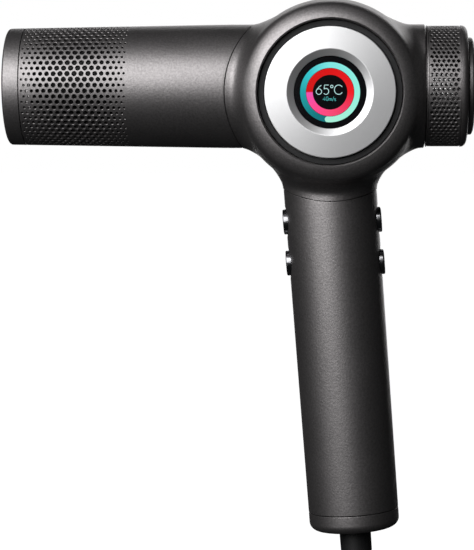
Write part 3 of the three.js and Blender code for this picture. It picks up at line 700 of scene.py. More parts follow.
def writing(name, signs, height, middle, width):
    """A row of signs centred on a point of the lens."""
    total = sum(ADVANCE[s] for s in signs) - 0.12
    points, faces = [], []
    start = -total / 2
    for sign in signs:
        for order, stroke in enumerate(STROKES[sign]):
            line = np.array(stroke) + (start, -0.5)
            line = line * height + middle
            stroke_points, stroke_faces = pen_stroke(line, width, FILM + 0.004 * order)
            faces += [[n + len(points) for n in face] for face in stroke_faces]
            points += stroke_points
        start += ADVANCE[sign]
    return make_piece(name, (points, faces), "display_glass")


writing("temperature_reading", ["6", "5", "degree", "C"], 3.75, (-0.4, 1.0), 0.27)
writing("air_speed_reading", ["4", "0", "m", "slash", "s"], 1.6, (-0.3, -2.6), 0.17)

# %% [markdown]
# ## Walls full of holes
# The barrel's front half and the filter are tubes drilled with rows of round vents, every other
# row set back by half a hole. Cutting a thousand cylinders with booleans is slow and leaves torn
# triangles, so the tube is woven instead: each hole has twelve points, its cell has twelve points
# round the edge, and every cell shares its edge with its neighbours. The holes get a tiny
# countersink and a true wall, and the net closes over the rims into one clean solid.

# %% Weave a tube with rows of round holes
CELL = [(2, 0), (2, 1), (1, 1), (0, 1), (-1, 1), (-2, 1),
        (-2, 0), (-2, -1), (-1, -1), (0, -1), (1, -1), (2, -1)]


def vented_tube(rows, holes, along, vent, outside, wall, before, after, sink=0.12):
    """Points and faces of a tube about local Z. along and vent give a hole's place and radius by
    its number, and before and after give each end's outline, over the rim to the inside."""
    columns, last = 2 * rows, 4 * holes + 2
    points, faces, edges = [], [], {}

    def add(radius, turn, x):
        points.append(AIR @ Vector((radius * math.cos(turn), radius * math.sin(turn), x)))
        return len(points) - 1

    def edge(inner, column, quarter):
        key = (inner, column % columns, quarter)
        if key not in edges:
            x = along(quarter / 4)
            edges[key] = add(outside(x) - wall * inner, math.pi * column / rows, x)
        return edges[key]

    for row in range(rows):
        set_back = 2 * (row % 2)
        turn = 2 * math.pi * row / rows
        for hole in range(holes):
            quarter = 4 * hole + 2 + set_back
            x, radius = along(quarter / 4), vent(quarter / 4)
            rings = [[edge(0, 2 * row + c, quarter + q) for q, c in CELL]]
            for reach, depth in ((radius + sink, 0), (radius, sink), (radius, wall)):
                ring = []
                for k in range(12):
                    swing = math.pi * k / 6
                    at = x + reach * math.cos(swing)
                    round_at = turn + reach * math.sin(swing) / outside(x)
                    ring.append(add(outside(at) - depth, round_at, at))
                rings.append(ring)
            rings.append([edge(1, 2 * row + c, quarter + q) for q, c in CELL])
            faces += ring_faces(rings, False)
        end = 0 if set_back else 4 * holes
        for inner in (0, 1):
            for side in (-1, 1):
                corners = [edge(inner, 2 * row + side, end + q) for q in range(3)]
                faces.append(corners + [edge(inner, 2 * row, end + 2), edge(inner, 2 * row, end)])
    for quarter, outline in ((0, before), (last, after)):
        rings = [[edge(0, c, quarter) for c in range(columns)]]
        turns = [math.pi * c / rows for c in range(columns)]
        for stage in zip(*[outline(turn) for turn in turns]):
            rings.append([add(radius, turn, x) for (radius, x), turn in zip(stage, turns)])
        rings.append([edge(1, c, quarter) for c in range(columns)])
        faces += ring_faces(rings, False)
    return points, faces


# %% The barrel
BARREL = {"front": -134.6, "front_radius": 24.3, "root_radius": 25.7, "wall": 1.6, "collar": -127.75}
VENT_ROWS = 66
VENTS = 17
FIRST_CELL = -127.2
PITCH_END, PITCH_MIDDLE = 1.85, 2.90
VENT_END, VENT_MIDDLE = 0.36, 1.03
LAST_VENT = VENTS + 0.5


def barrel_radius(x):
    share = (x - BARREL["front"]) / (-BARREL_SEAM - BARREL["front"])
    swell = BARREL["root_radius"] - BARREL["front_radius"]
    return BARREL["front_radius"] + swell * min(max(share, 0), 1)


def vent_place(number):
    """The vents stand further apart in the middle of the band."""
    swell = (PITCH_MIDDLE - PITCH_END) * LAST_VENT / math.pi
    return FIRST_CELL + PITCH_END * number + swell * (1 - math.cos(math.pi * number / LAST_VENT))


def vent_radius(number):
    return VENT_END + (VENT_MIDDLE - VENT_END) * math.sin(math.pi * number / LAST_VENT)


def barrel_front(angle):
    """From the first vents over the front rim and back inside."""
    x = BARREL["collar"] + SEAM_GAP
    radius = barrel_radius(x)
    inner = radius - BARREL["wall"]
    return [(radius, x + 0.22), (radius - 0.06, x + 0.06), (radius - 0.22, x),
            (inner + 0.1, x), (inner, x + 0.1)]


def barrel_rear(angle):
    """From the last vents along the plain barrel to the hollow end that fits round the hub."""
    ring = []
    height = AIR_HEIGHT + BARREL["root_radius"] * math.sin(angle)
    seam = -math.sqrt((BARREL_SEAM + SEAM_GAP / 2) ** 2 - height ** 2)
    last = vent_place(LAST_VENT)
    for share in (0.02, 0.1, 0.25, 0.4, 0.55, 0.7, 0.82, 0.92, 0.97):
        x = last + (seam - last) * share
        ring.append((barrel_radius(x), x))
    wide = BARREL["root_radius"]
    ring += [(wide, seam - 0.25), (wide - 0.07, seam - 0.07), (wide - 0.25, seam)]
    wall = BARREL["wall"]
    return ring + [(wide - wall, seam), (barrel_radius(last) - wall, last + 1)]


make_piece(
    "barrel_skin",
    vented_tube(
        VENT_ROWS, VENTS, vent_place, vent_radius, barrel_radius, BARREL["wall"], barrel_front, barrel_rear,
    ),
    "gunmetal_paint", replaces=["barrel_shell"],
)
print("vents in the barrel:", VENT_ROWS * VENTS)

# %% The outlet collar, its grille and the ion needle
rim = BARREL["front_radius"]
collar_back = BARREL["collar"]
collar = [(19.8, BARREL["front"], 0.8), (rim, BARREL["front"], 1.1),
          (barrel_radius(collar_back), collar_back, 0.15), (22.5, collar_back, 0.1),
          (22.5, collar_back + 3, 0.3), (21.1, collar_back + 3, 0.2), (19.8, collar_back + 0.6, 0.6)]
make_piece("outlet_collar", turned(collar, AIR, 160), "gunmetal_paint", replaces=["outlet_ring"])

grille_front, grille_back = span_of("outlet_grille")


def grille_ring(inner, outer):
    return turned(hoop(inner, outer, grille_front, grille_back, 0.3), AIR, 96)


def grille_spoke(number, thick=0.8):
    """One of sixteen flat spokes. Every fourth one reaches the middle."""
    place = AIR @ Matrix.Rotation(math.pi * number / 8, 4, "Z")
    inner = 6 if number % 4 else 2.6
    return block(place, (inner, -thick / 2, grille_front + 0.3), (21, thick / 2, grille_back - 0.2))


grille = make_piece("grille", grille_ring(20.0, 22.0), "black_plastic", replaces=["outlet_grille"])
spokes = [grille_spoke(number) for number in range(16)]
rings = [grille_ring(radius, radius + 0.8) for radius in (5.6, 9.0, 12.4, 15.8)]
carve(grille, [grille_ring(1.5, 3.4), *rings, *spokes], "UNION")
needle_front, needle_back = span_of("ion_emitter")
needle = [(0, needle_front), (0.25, needle_front + 0.1), (0.5, needle_front + 1.6),
          (1.1, needle_front + 2.4), (1.1, needle_back), (0, needle_back)]
make_piece("ion_needle", turned(needle, AIR, 40, 0.1), "steel_parts", replaces=["ion_emitter"])

# %% [markdown]
# ## The rear filter
# The air comes in through a cap of fine holes over a woven steel mesh. The cap pulls straight
# back, so it is a body of its own, with a smooth rounded end and a flat disc set a little proud.

# %% The filter cap
FILTER = {"front": 39.3, "end": 56.2, "radius": 25.2, "groove": 24.95}
SPIGOT = {"outer": 23.2, "inner": 21.9, "length": 3.9}
FILTER_ROWS = 80
FILTER_VENTS = 6
FILTER_PITCH = 1.94
FILTER_FIRST = 40.15
FILTER_VENT = 0.72
FILTER_WALL = 1.35


def filter_front(angle):
    r, x, groove = FILTER["radius"], FILTER["front"], FILTER["groove"]
    outer, inner, tip = SPIGOT["outer"], SPIGOT["inner"], x - SPIGOT["length"]
    return [(groove, x + 0.7), (groove - 0.3, x + 0.6), (groove - 0.3, x + 0.45), (r - 0.02, x + 0.35),
            (r - 0.1, x + 0.08), (r - 0.3, x), (outer, x), (outer, tip + 0.3), (outer - 0.3, tip),
            (inner, tip), (inner, x + 1.2), (23.3, x + 1.2)]


def filter_rear(angle):
    r, end = FILTER["radius"], FILTER["end"]
    start = FILTER_FIRST + (FILTER_VENTS + 0.5) * FILTER_PITCH
    ring = [(r - 0.25, start + 0.25), (r - 0.5, start + 0.35), (r - 0.5, start + 0.6),
            (r - 0.08, start + 0.75)]
    for step in range(9):
        turn = math.radians(90 * step / 8)
        ring.append((r - 2.8 + 2.7 * math.cos(turn), end - 2.4 + 2.4 * math.sin(turn)))
    return ring + [(18.2, end), (17.9, end - 0.3), (17.9, end - 1.6), (23.4, end - 1.6), (23.55, end - 1.9)]


make_piece(
    "filter_cap",
    vented_tube(
        FILTER_ROWS, FILTER_VENTS, lambda number: FILTER_FIRST + FILTER_PITCH * number,
        lambda number: FILTER_VENT, lambda x: FILTER["radius"] - 0.25, FILTER_WALL,
        filter_front, filter_rear, 0.1,
    ),
    "gunmetal_paint", body="filter", replaces=["filter_cage"],
)
disc_face = FILTER["end"] + 2.7
cap_disc = [(0, disc_face), (18.6, disc_face, 0.3), (18.9, disc_face - 0.3, 0.15),
            (19.3, disc_face - 0.3, 0.15), (20.1, disc_face - 0.7, 0.4), (20.1, disc_face - 2.4, 0.2),
            (17.6, disc_face - 2.4, 0.1), (17.6, disc_face - 6.3, 0.3), (16.2, disc_face - 6.3, 0.3),
            (16.2, disc_face - 1.8, 0.4), (0, disc_face - 1.8)]
make_piece(
    "filter_end_disc", turned(cap_disc, AIR, 160), "gunmetal_paint", body="filter",
    replaces=["filter_end_cap"],
)

# %% The woven mesh inside the filter cap
MESH_RADIUS = 23.05
MESH_WIRES = 150
MESH_HOOPS = 12
MESH_START, MESH_STOP = 41.4, 54.0
WIRE_HALF = 0.11
WEAVE_LIFT = 0.14


def woven_mesh():
    """Thin wires along the tube, each passing in and out of the hoops that cross it."""
    points, faces = [], []
    steps = 2 * MESH_HOOPS
    length = MESH_STOP - MESH_START

    def weave_in(shape):
        faces.extend([n + len(points) for n in face] for face in shape[1])
        points.extend(shape[0])

    for wire in range(MESH_WIRES):
        turn = 2 * math.pi * wire / MESH_WIRES
        sections = []
        for step in range(steps + 1):
            x = MESH_START + length * step / steps
            lift = WEAVE_LIFT * math.cos(math.pi * (step / 2 + wire))
            ring = []
            for a, b in ((-1, -1), (1, -1), (1, 1), (-1, 1)):
                radius = MESH_RADIUS + lift + WIRE_HALF * a
                swing = turn + b * WIRE_HALF / radius
                ring.append(AIR @ Vector((radius * math.cos(swing), radius * math.sin(swing), x)))
            sections.append(ring)
        weave_in(skinned(sections))
    for number in range(MESH_HOOPS):
        x = MESH_START + length * (number + 0.5) / MESH_HOOPS
        weave_in(turned(hoop(MESH_RADIUS - 0.1, MESH_RADIUS + 0.1, x - 0.1, x + 0.1), AIR, 120))
    return points, faces


make_piece(
    "filter_weave", woven_mesh(), "filter_mesh_steel", body="filter", replaces=["filter_mesh"],
)

# %% [markdown]
# ## The back cover
# The side away from the display is closed by a plain pressed disc, dished a little and held by
# a groove round its edge, which also makes a flat foot when the dryer is laid down.

# %% The cover
back_face = HUB["back"]
cover = [(0, back_face - 1.1), (17, back_face - 1.1, 3), (21.5, back_face, 1.2),
         (26.6, back_face, 0.3), (26.9, back_face - 0.25, 0.1), (27.2, back_face - 0.25, 0.1),
         (27.5, back_face, 0.1), (28, back_face - 0.15, 0.35), (28, back_face - 1.3, 0.1),
         (25.2, back_face - 1.3, 0.1), (25.2, back_face - 3.2, 0.2), (0, back_face - 3.2)]
make_piece("hub_cover", turned(cover, FACE, 160), "gunmetal_paint", replaces=["hub_back_cover"])

# %% [markdown]
# ## The handle
# The grip is a long, slightly tapering tube. Its top is cut to a hollow that fits the hub, and
# its end is closed by a rounded cap. The tube is turned with an outline that changes with the
# angle, so that the hollow end is true and needs no cutting. Four round holes take the buttons.

# %% The grip and its end cap
GRIP = {"top_radius": 19.4, "end_radius": 18.9, "seam": 175.0, "end": 182.8, "wall": 2.0}
GRIP_STATIONS = (48, 50, 53, 57, 61, 65, 69, 73, 77, 81, 90, 105, 120, 135, 150, 165)
BUTTONS = {"front": {"side": -1, "upper": 52, "lower": 69.3},
           "rear": {"side": 1, "upper": 53.8, "lower": 71.5}}
BUTTON_HOLE = 6.6
rear_way = np.array(rear)
down_way = np.array(down)


def grip_radius(distance):
    share = min(max((distance - GRIP_SEAM) / (GRIP["seam"] - GRIP_SEAM), 0), 1)
    return GRIP["top_radius"] + (GRIP["end_radius"] - GRIP["top_radius"]) * share


def seam_drop(angle, radius):
    """How far down the handle its wall meets the hub's seam, at this angle about the handle."""
    start = np.array(down_handle(0)) + rear_way * radius * math.sin(angle)
    start[1] = 0
    flat_down = down_way * np.array((1, 0, 1))
    along = float(start @ flat_down)
    seam = GRIP_SEAM + SEAM_GAP / 2
    return -along + math.sqrt(along ** 2 - float(start @ start) + seam ** 2)


def grip_outline(angle):
    wide = GRIP["top_radius"]
    top = seam_drop(angle, wide)
    end = GRIP["seam"] - SEAM_GAP / 2
    outline = [(wide - GRIP["wall"], top, 0.1), (wide, top, 0.25)]
    for distance in GRIP_STATIONS:
        outline.append((grip_radius(distance), max(distance, top + 1.2 + 0.005 * distance), 0))
    return outline + [(grip_radius(end), end, 0.25), (grip_radius(end) - GRIP["wall"], end, 0.1)]


grip = make_piece("grip", turned(grip_outline, HANDLE, 192), "gunmetal_paint", replaces=["handle_shell"])


def button_place(side, distance):
    """A placing matrix for a button: local Z points out of the handle's side."""
    return axis_place(handle_top + down * distance * MM, rear * side, Y)


carve(grip, [
    turned(rod(BUTTON_HOLE, 10, 30), button_place(row["side"], row[level]), 64)
    for row in BUTTONS.values() for level in ("upper", "lower")
])

cap_edge = grip_radius(GRIP["seam"])
cap_top = GRIP["seam"] + SEAM_GAP / 2
cap_floor = GRIP["end"] - 2.5
cap = [(cap_edge, cap_top, 0.25), (cap_edge, GRIP["end"], 3.6), (6.9, GRIP["end"], 0.5),
       (6.9, cap_floor, 0.1), (15.0, cap_floor, 0.3), (15.0, cap_top - 5, 0.2),
       (16.6, cap_top - 5, 0.3), (16.6, cap_top, 0.1)]
make_piece("grip_end_cap", turned(cap, HANDLE, 160), "gunmetal_paint", replaces=["handle_bottom_cap"])

# %% [markdown]
# ## The buttons
# Two polished buttons sit on each side of the handle, each in a thin black seat that follows the
# handle's curve. The seat's outline changes with the angle, which bends its top edge to the tube.

# %% Buttons and seats
SEAT = {"inner": 5.62, "outer": 6.35, "foot": 14.5}


def flush_height(angle, radius):
    """How high the handle's wall stands over the button's axis, at a point beside it."""
    aside = radius * math.cos(angle)
    return math.sqrt(GRIP["top_radius"] ** 2 - aside ** 2) - 0.2


def seat_outline(angle):
    inner, outer, foot = SEAT["inner"], SEAT["outer"], SEAT["foot"]
    return [(inner, foot, 0.1), (outer, foot, 0.1), (outer, flush_height(angle, outer), 0.12),
            (inner, flush_height(angle, inner), 0.12)]


face = GRIP["top_radius"] + 1.2
key = [(0, 13.3), (1.5, 13.3, 0.2), (1.5, 16.4, 0.2), (5.35, 16.4, 0.3), (5.35, face - 0.1, 0.75),
       (4.3, face, 0.3), (3.6, face - 0.45, 0.8), (0, face - 0.6)]
for end, row in BUTTONS.items():
    for level in ("upper", "lower"):
        place = button_place(row["side"], row[level])
        which = f"{end}_{level}"
        make_piece(
            f"seat_{which}", turned(seat_outline, place, 96, 0.1), "black_plastic",
            replaces=[f"button_seat_{which}"],
        )
        make_piece(
            f"key_{which}", turned(key, place, 96), "polished_button", body=f"button_{which}",
            replaces=[f"button_{which}"],
        )

# %% [markdown]
# ## The strain relief, the tie and the plug
# The strain relief is a rubber sleeve that thins towards the cord and is ribbed so that it bends
# evenly. The plug is moulded round the cord, with a waist for the fingers and two round pins.

# %% The strain relief
relief = [(0, 177.6), (9, 177.6, 0.3), (9, 180.0, 0.3), (6.7, 180.0, 0.3), (6.55, 193, 0.4)]
for rib in range(5):
    start = 194.5 + 4.4 * rib
    radius = 6.4 - 0.38 * rib
    relief += [(radius - 0.85, start, 0.35), (radius - 0.85, start + 1.2, 0.35),
               (radius, start + 1.5, 0.4), (radius - 0.05, start + 3.7, 0.4)]
relief += [(4.6, RELIEF_END, 0.8), (3.6, RELIEF_END, 0.2), (3.6, RELIEF_END - 3, 0.2), (0, RELIEF_END - 3)]
make_piece("cord_sleeve", turned(relief, HANDLE, 80), "soft_rubber", replaces=["strain_relief"])

# %% The tie round the hank
TIE_CORNER = 5
TIE_SECTION = [(0, -8), (0.15, -8), (0.15, -6.8), (0, -6.6), (0, 6.6), (0.15, 6.8), (0.15, 8), (0, 8),
               (-1.1, 8), (-1.1, -8)]


def tie_strap():
    """A fabric strap round the hank, with rounded corners, its edges slightly thicker."""
    tie_low, tie_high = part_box("cord_tie")
    low, high = (tie_low - hub) / MM, (tie_high - hub) / MM
    half_x, half_y = (high.x - low.x) / 2, (high.y - low.y) / 2
    middle = (low + high) / 2
    sections = []
    for quarter, (sx, sy) in enumerate(((1, 1), (-1, 1), (-1, -1), (1, -1))):
        corner_x = middle.x + sx * (half_x - TIE_CORNER)
        corner_y = middle.y + sy * (half_y - TIE_CORNER)
        for step in range(9):
            turn = math.radians(90 * quarter + 90 * step / 8)
            reaches = [(TIE_CORNER - 0.2 + lift, z) for lift, z in TIE_SECTION]
            sections.append([
                from_hub(corner_x + math.cos(turn) * reach, corner_y + math.sin(turn) * reach, middle.z + z)
                for reach, z in reaches
            ])
    return skinned(sections, closed=True)


tie = make_piece("hank_tie", tie_strap(), "tie_fabric", replaces=["cord_tie"])

# %% The plug
plug_low, plug_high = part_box("plug_body")
plug_middle = ((plug_low + plug_high) / 2 - hub) / MM
plug_top = (plug_high.z - hub.z) / MM
plug_end = (plug_low.z - hub.z) / MM
PLUG_STAGES = [
    (0.0, 4.3, 4.3), (0.01, 5.0, 5.0), (0.1, 5.4, 5.4), (0.25, 6.4, 6.2), (0.36, 9.5, 7.6),
    (0.43, 13.2, 9.4), (0.5, 15.6, 11.2), (0.58, 16.6, 12.6), (0.68, 17.0, 13.4), (0.78, 17.2, 13.9),
    (0.88, 17.4, 14.2), (0.97, 17.4, 14.2), (0.992, 17.1, 13.9), (1.0, 16.4, 13.2),
]


def plug_shape(sides=72):
    """Sections from the round boot down to the flatter pin face, as (share of the height, half
    width, half depth)."""
    height = plug_top - plug_end
    sections = []
    for share, half_x, half_y in PLUG_STAGES:
        blend = min(max((share - 0.25) / 0.3, 0), 1)
        power = 2 / (2 + 1.2 * blend)
        ring = []
        for i in range(sides):
            turn = 2 * math.pi * i / sides
            cx, cy = math.cos(turn), math.sin(turn)
            x = half_x * math.copysign(abs(cx) ** power, cx)
            y = half_y * math.copysign(abs(cy) ** power, cy)
            ring.append(from_hub(plug_middle.x + x, plug_middle.y + y, plug_top - height * share))
        sections.append(ring)
    return skinned(sections)


plug = make_piece("mains_plug", plug_shape(), "cord_rubber", replaces=["plug_body"], crease=50)
for side in ("left", "right"):
    pin_low, pin_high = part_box(f"plug_pin_{side}")
    pin_x = (pin_low.x + pin_high.x) / 2
    place = axis_place(Vector((pin_x, 0, pin_high.z)), -Z, X)
    long = (pin_high.z - pin_low.z) / MM
    metal = [(0, -1), (2.0, -1, 0.1), (2.0, 9.0, 0.1), (2.35, 9.1, 0.1), (2.4, long - 2.2, 0.8),
             (1.3, long, 0.6), (0, long)]
    sleeve = [(2.03, 0.15, 0.1), (2.43, 0.15, 0.1), (2.33, 8.9, 0.2), (2.03, 8.9, 0.1)]
    make_piece(
        f"pin_{side}", turned(metal, place, 48), "pin_brass", replaces=[f"plug_pin_{side}"],
    )
    make_piece(f"pin_sleeve_{side}", turned(sleeve, place, 48), "cord_rubber")

# %% [markdown]
# ## What shows when the filter is pulled back
# With the filter off, the air's way to the motor shows: a seat ring, the motor's duct, and the
# tiny high-speed impeller inside the motor's housing. These are turned finely as well, and the
# impeller's blades are swept, because a flat fan would look wrong at this distance.

# %% Seat ring, duct and motor housing
seat_start, seat_stop = span_of("rear_seat_ring")
seat_ring = [(20.1, seat_start, 0.2), (23.4, seat_start, 0.2), (23.4, seat_stop, 0.5),
             (21.9, seat_stop, 0.6), (20.6, seat_start + 2, 0.8)]
make_piece("filter_seat", turned(seat_ring, AIR, 128), "black_plastic", replaces=["rear_seat_ring"])
duct_start, duct_stop = span_of("motor_duct")
duct = [(19.9, duct_start, 0.3), (23.4, duct_start, 0.2), (23.4, duct_start + 2.5, 0.3),
        (21.3, duct_start + 2.5, 0.4), (21.3, duct_stop - 2.5, 0.4), (23.4, duct_stop - 2.5, 0.3),
        (23.4, duct_stop, 0.2), (19.9, duct_stop, 0.8)]
make_piece("air_duct", turned(duct, AIR, 128), "black_plastic", replaces=["motor_duct"])
shell_start, shell_stop = span_of("motor_housing")
shell = [(15.6, shell_start, 0.4), (17, shell_start, 0.4), (17, shell_stop, 0.5),
         (16.2, shell_stop, 0.5), (15.6, shell_stop - 3, 1.2)]
housing = make_piece("motor_shell", turned(shell, AIR, 128), "cast_aluminium", replaces=["motor_housing"])
core_stop = 14.7
core = [(4.3, shell_start, 0.2), (10.2, shell_start, 1.2), (11, shell_start + 2, 0.8),
        (11, core_stop, 0.4), (4.3, core_stop, 0.2), (4.3, core_stop - 2, 0.1),
        (9.9, core_stop - 2, 0.3), (9.9, shell_start + 2, 0.3), (4.3, shell_start + 2, 0.1)]


def swept_blade(angle, inner, outer, front, back, lean, thick, steps=8):
    """A blade from one radius to another that leans as it runs along the air's axis."""
    sections = []
    for step in range(steps + 1):
        share = step / steps
        x = front + (back - front) * share
        turn = angle + lean * (share + 0.5 * share * share)
        ring = []
        for radius, side in ((inner, -1), (outer, -1), (outer, 1), (inner, 1)):
            swing = turn + side * thick / 2 / radius
            ring.append(AIR @ Vector((radius * math.cos(swing), radius * math.sin(swing), x)))
        sections.append(ring)
    return skinned(sections)


GUIDE_VANES = 7
BLADES = 11
guides = [
    swept_blade(2 * math.pi * i / GUIDE_VANES, 10.6, 16.2, shell_start + 4, core_stop - 1.5, 0.25, 0.8)
    for i in range(GUIDE_VANES)
]
carve(housing, [turned(core, AIR, 96), *guides], "UNION")

wheel_start, wheel_stop = span_of("impeller")
wheel = [(1.55, wheel_start, 0.1), (9.8, wheel_start, 0.4), (9.4, wheel_start + 2, 0.8),
         (6.8, wheel_start + 6.5, 2), (3.6, wheel_stop, 0.8), (1.55, wheel_stop, 0.1)]
impeller = make_piece(
    "swept_impeller", turned(wheel, AIR, 96), "cast_aluminium", body="rotor", replaces=["impeller"],
)
blades = [
    swept_blade(2 * math.pi * i / BLADES, 5.5, 15.1, wheel_start + 0.6, wheel_stop - 0.8, 0.55, 0.55)
    for i in range(BLADES)
]
carve(impeller, blades, "UNION")
carve(impeller, [turned(rod(1.56, wheel_start - 2, wheel_stop + 2), AIR, 48)])

# %% [markdown]
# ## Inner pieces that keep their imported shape
# The heater, boards, bearings and clamps are right as they are, but a real moulding or stamping
# has eased edges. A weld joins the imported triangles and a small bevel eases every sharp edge,
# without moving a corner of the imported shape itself.

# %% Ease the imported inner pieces


def ease_packed(node, width, crease=30):
    mesh = node.data
    if "custom_normal" in mesh.attributes:
        mesh.attributes.remove(mesh.attributes["custom_normal"])
    mesh.polygons.foreach_set("use_smooth", [True] * len(mesh.polygons))
    weld = node.modifiers.new("weld", "WELD")
    weld.merge_threshold = 0.002 * MM
    bevel = node.modifiers.new("ease", "BEVEL")
    bevel.width = width * MM
    bevel.segments = 2
    bevel.limit_method = "ANGLE"
    bevel.angle_limit = math.radians(crease)
    bevel.harden_normals = True
    return node


kept = [node for node in frame["nodes"].values() if not node.hide_render]
for node in kept:
    thin = node.name.startswith(("mica", "heater"))
    ease_packed(node, 0.08 if thin else 0.18)
print("packed pieces kept:", sorted(node.name for node in kept))

# %% [markdown]
# ## Surface effects shared by the finishes
# A finish is more than a colour. Metallic paint has a fine flake that sparkles, everything that
# is handled carries faint broad smudges, and exposed edges get a painted highlight, a brighter
# tone. Each of these is built once as a node group that gives a mask or a height, and each
# material places it with its own scale and strength.

# %% Helpers for nodes


def feed(node, values):
    """Gives each named input of a node a value, or a link from another node's output."""
    for key, value in values.items():
        if isinstance(value, bpy.types.NodeSocket):
            node.id_data.links.new(value, node.inputs[key])
        else:
            node.inputs[key].default_value = value
    return node


def add_node(tree, kind, values=None, **settings):
    node = tree.nodes.new("ShaderNode" + kind)
    for key, value in settings.items():
        setattr(node, key, value)
    return feed(node, values or {})


def reckon(tree, operation, *values, **settings):
    """The result of one sum on values or other nodes' outputs."""
    return add_node(tree, "Math", dict(enumerate(values)), operation=operation, **settings).outputs[0]


def scaled(tree, value, low, high):
    """A value spread from 0 at low to 1 at high."""
    limits = {"Value": value, "From Min": low, "From Max": high}
    return add_node(tree, "MapRange", limits).outputs["Result"]


def new_effect(name, inputs, outputs):
    """A node group with named inputs and outputs, and its two end nodes."""
    tree = bpy.data.node_groups.new(name, "ShaderNodeTree")
    for side, names in (("INPUT", inputs), ("OUTPUT", outputs)):
        for socket in names:
            made = tree.interface.new_socket(name=socket, in_out=side, socket_type="NodeSocketFloat")
            if side == "INPUT":
                made.default_value = inputs[socket]
    return tree, tree.nodes.new("NodeGroupInput"), tree.nodes.new("NodeGroupOutput")


def linear(hex_colour):
    """A colour written as six hex digits, as light."""
    parts = [int(hex_colour[i:i + 2], 16) / 255 for i in (0, 2, 4)]
    return (*[p / 12.92 if p <= 0.04045 else ((p + 0.055) / 1.055) ** 2.4 for p in parts], 1)


# %% Effect: a fine grain, as of metallic flake or a moulded skin


def build_grain():
    tree, start, end = new_effect(
        "fine grain", {"Grains per metre": 1800, "Contrast": 1}, ["Shade", "Height"],
    )
    place = add_node(tree, "TexCoord").outputs["Object"]
    spot = {"Vector": place, "Scale": start.outputs["Grains per metre"]}
    noise = add_node(tree, "TexNoise", {**spot, "Detail": 3, "Roughness": 0.65}).outputs[0]
    spots = add_node(tree, "TexVoronoi", spot).outputs["Distance"]
    away = reckon(tree, "SUBTRACT", scaled(tree, noise, 0.3, 0.7), 0.5)
    spread = reckon(tree, "MULTIPLY", away, start.outputs["Contrast"])
    shade = reckon(tree, "ADD", spread, 0.5, use_clamp=True)
    feed(end, {"Shade": shade, "Height": reckon(tree, "MULTIPLY_ADD", spots, 0.5, noise)})
    return tree


# %% Effect: broad smudges from handling


def build_smudges():
    tree, start, end = new_effect(
        "handling smudges", {"Smudges per metre": 35, "Strength": 0.5}, ["Mask"],
    )
    noise = add_node(tree, "TexNoise", {
        "Vector": add_node(tree, "TexCoord").outputs["Object"],
        "Scale": start.outputs["Smudges per metre"],
        "Detail": 4, "Roughness": 0.55, "Distortion": 0.6,
    }).outputs[0]
    patches = scaled(tree, noise, 0.38, 0.68)
    feed(end, {"Mask": reckon(tree, "MULTIPLY", patches, start.outputs["Strength"])})
    return tree


# %% Effect: a painted highlight on convex edges


def build_painted_edge_highlight():
    tree, start, end = new_effect("rubbed edges", {"Strength": 0.6}, ["Mask"])
    place = add_node(tree, "TexCoord").outputs["Object"]
    broken = add_node(tree, "TexNoise", {"Vector": place, "Scale": 420, "Detail": 3}).outputs[0]
    # Painted highlight: edges that stick out, found by pointiness, get a mask for a brighter tone, broken
    # up by noise.
    edge = scaled(tree, add_node(tree, "NewGeometry").outputs["Pointiness"], 0.53, 0.62)
    both = reckon(tree, "MULTIPLY", edge, scaled(tree, broken, 0.35, 0.6))
    feed(end, {"Mask": reckon(tree, "MULTIPLY", both, start.outputs["Strength"])})
    return tree


GRAIN = build_grain()
SMUDGES = build_smudges()
PAINTED_EDGE_HIGHLIGHT = build_painted_edge_highlight()
print("effects:", GRAIN.name, SMUDGES.name, PAINTED_EDGE_HIGHLIGHT.name)

# %% [markdown]
# ## The finishes
# One builder places the three effects round a Principled shader: the grain moves the colour
# between two close tones and gives a small bump, the smudges move the roughness, and a painted
# edge highlight mixes a brighter tone into convex edges. Each finish of the dryer is that builder
# with its own real values.

# %% Build a finish


def new_material(name):
    material = bpy.data.materials.new(name)
    material.use_nodes = True
    tree = material.node_tree
    return material, tree, tree.nodes["Principled BSDF"]


def surface(
    name, dark, light, edge, roughness, metallic, grains, contrast, bump,
    smudge=0.06, rubbed=0.5, **sockets,
):
    """A material from two close tones, a painted edge highlight tone, a roughness, and the strength of its
    effects.
    """
    material, tree, shader = new_material(name)
    flakes = {"Grains per metre": grains, "Contrast": contrast}
    grain = add_node(tree, "Group", flakes, node_tree=GRAIN)
    marks = add_node(tree, "Group", node_tree=SMUDGES)
    highlight_mask = add_node(tree, "Group", {"Strength": rubbed}, node_tree=PAINTED_EDGE_HIGHLIGHT)
    tone = add_node(tree, "Mix", {
        "A": (*dark, 1), "B": (*light, 1), "Factor": grain.outputs["Shade"],
    }, data_type="RGBA")
    # Painted highlight: the brighter edge tone is mixed in along convex edges.
    highlighted_tone = add_node(tree, "Mix", {
        "A": tone.outputs["Result"], "B": (*edge, 1), "Factor": highlight_mask.outputs["Mask"],
    }, data_type="RGBA")
    rough = add_node(tree, "MapRange", {
        "Value": marks.outputs["Mask"], "To Min": roughness - smudge, "To Max": roughness + smudge,
    })
    height = add_node(tree, "Bump", {
        "Strength": bump, "Distance": 0.0001, "Height": grain.outputs["Height"],
    })
    feed(shader, {
        "Base Color": highlighted_tone.outputs["Result"], "Roughness": rough.outputs["Result"],
        "Normal": height.outputs["Normal"], "Metallic": metallic,
    })
    feed(shader, {socket.replace("_", " "): value for socket, value in sockets.items()})
    return material


def tones(level, tint=(1, 1, 1), spread=0.12):
    """Two close tones of one colour."""
    return [tuple(level * t * (1 + side * spread) for t in tint) for side in (-1, 1)]


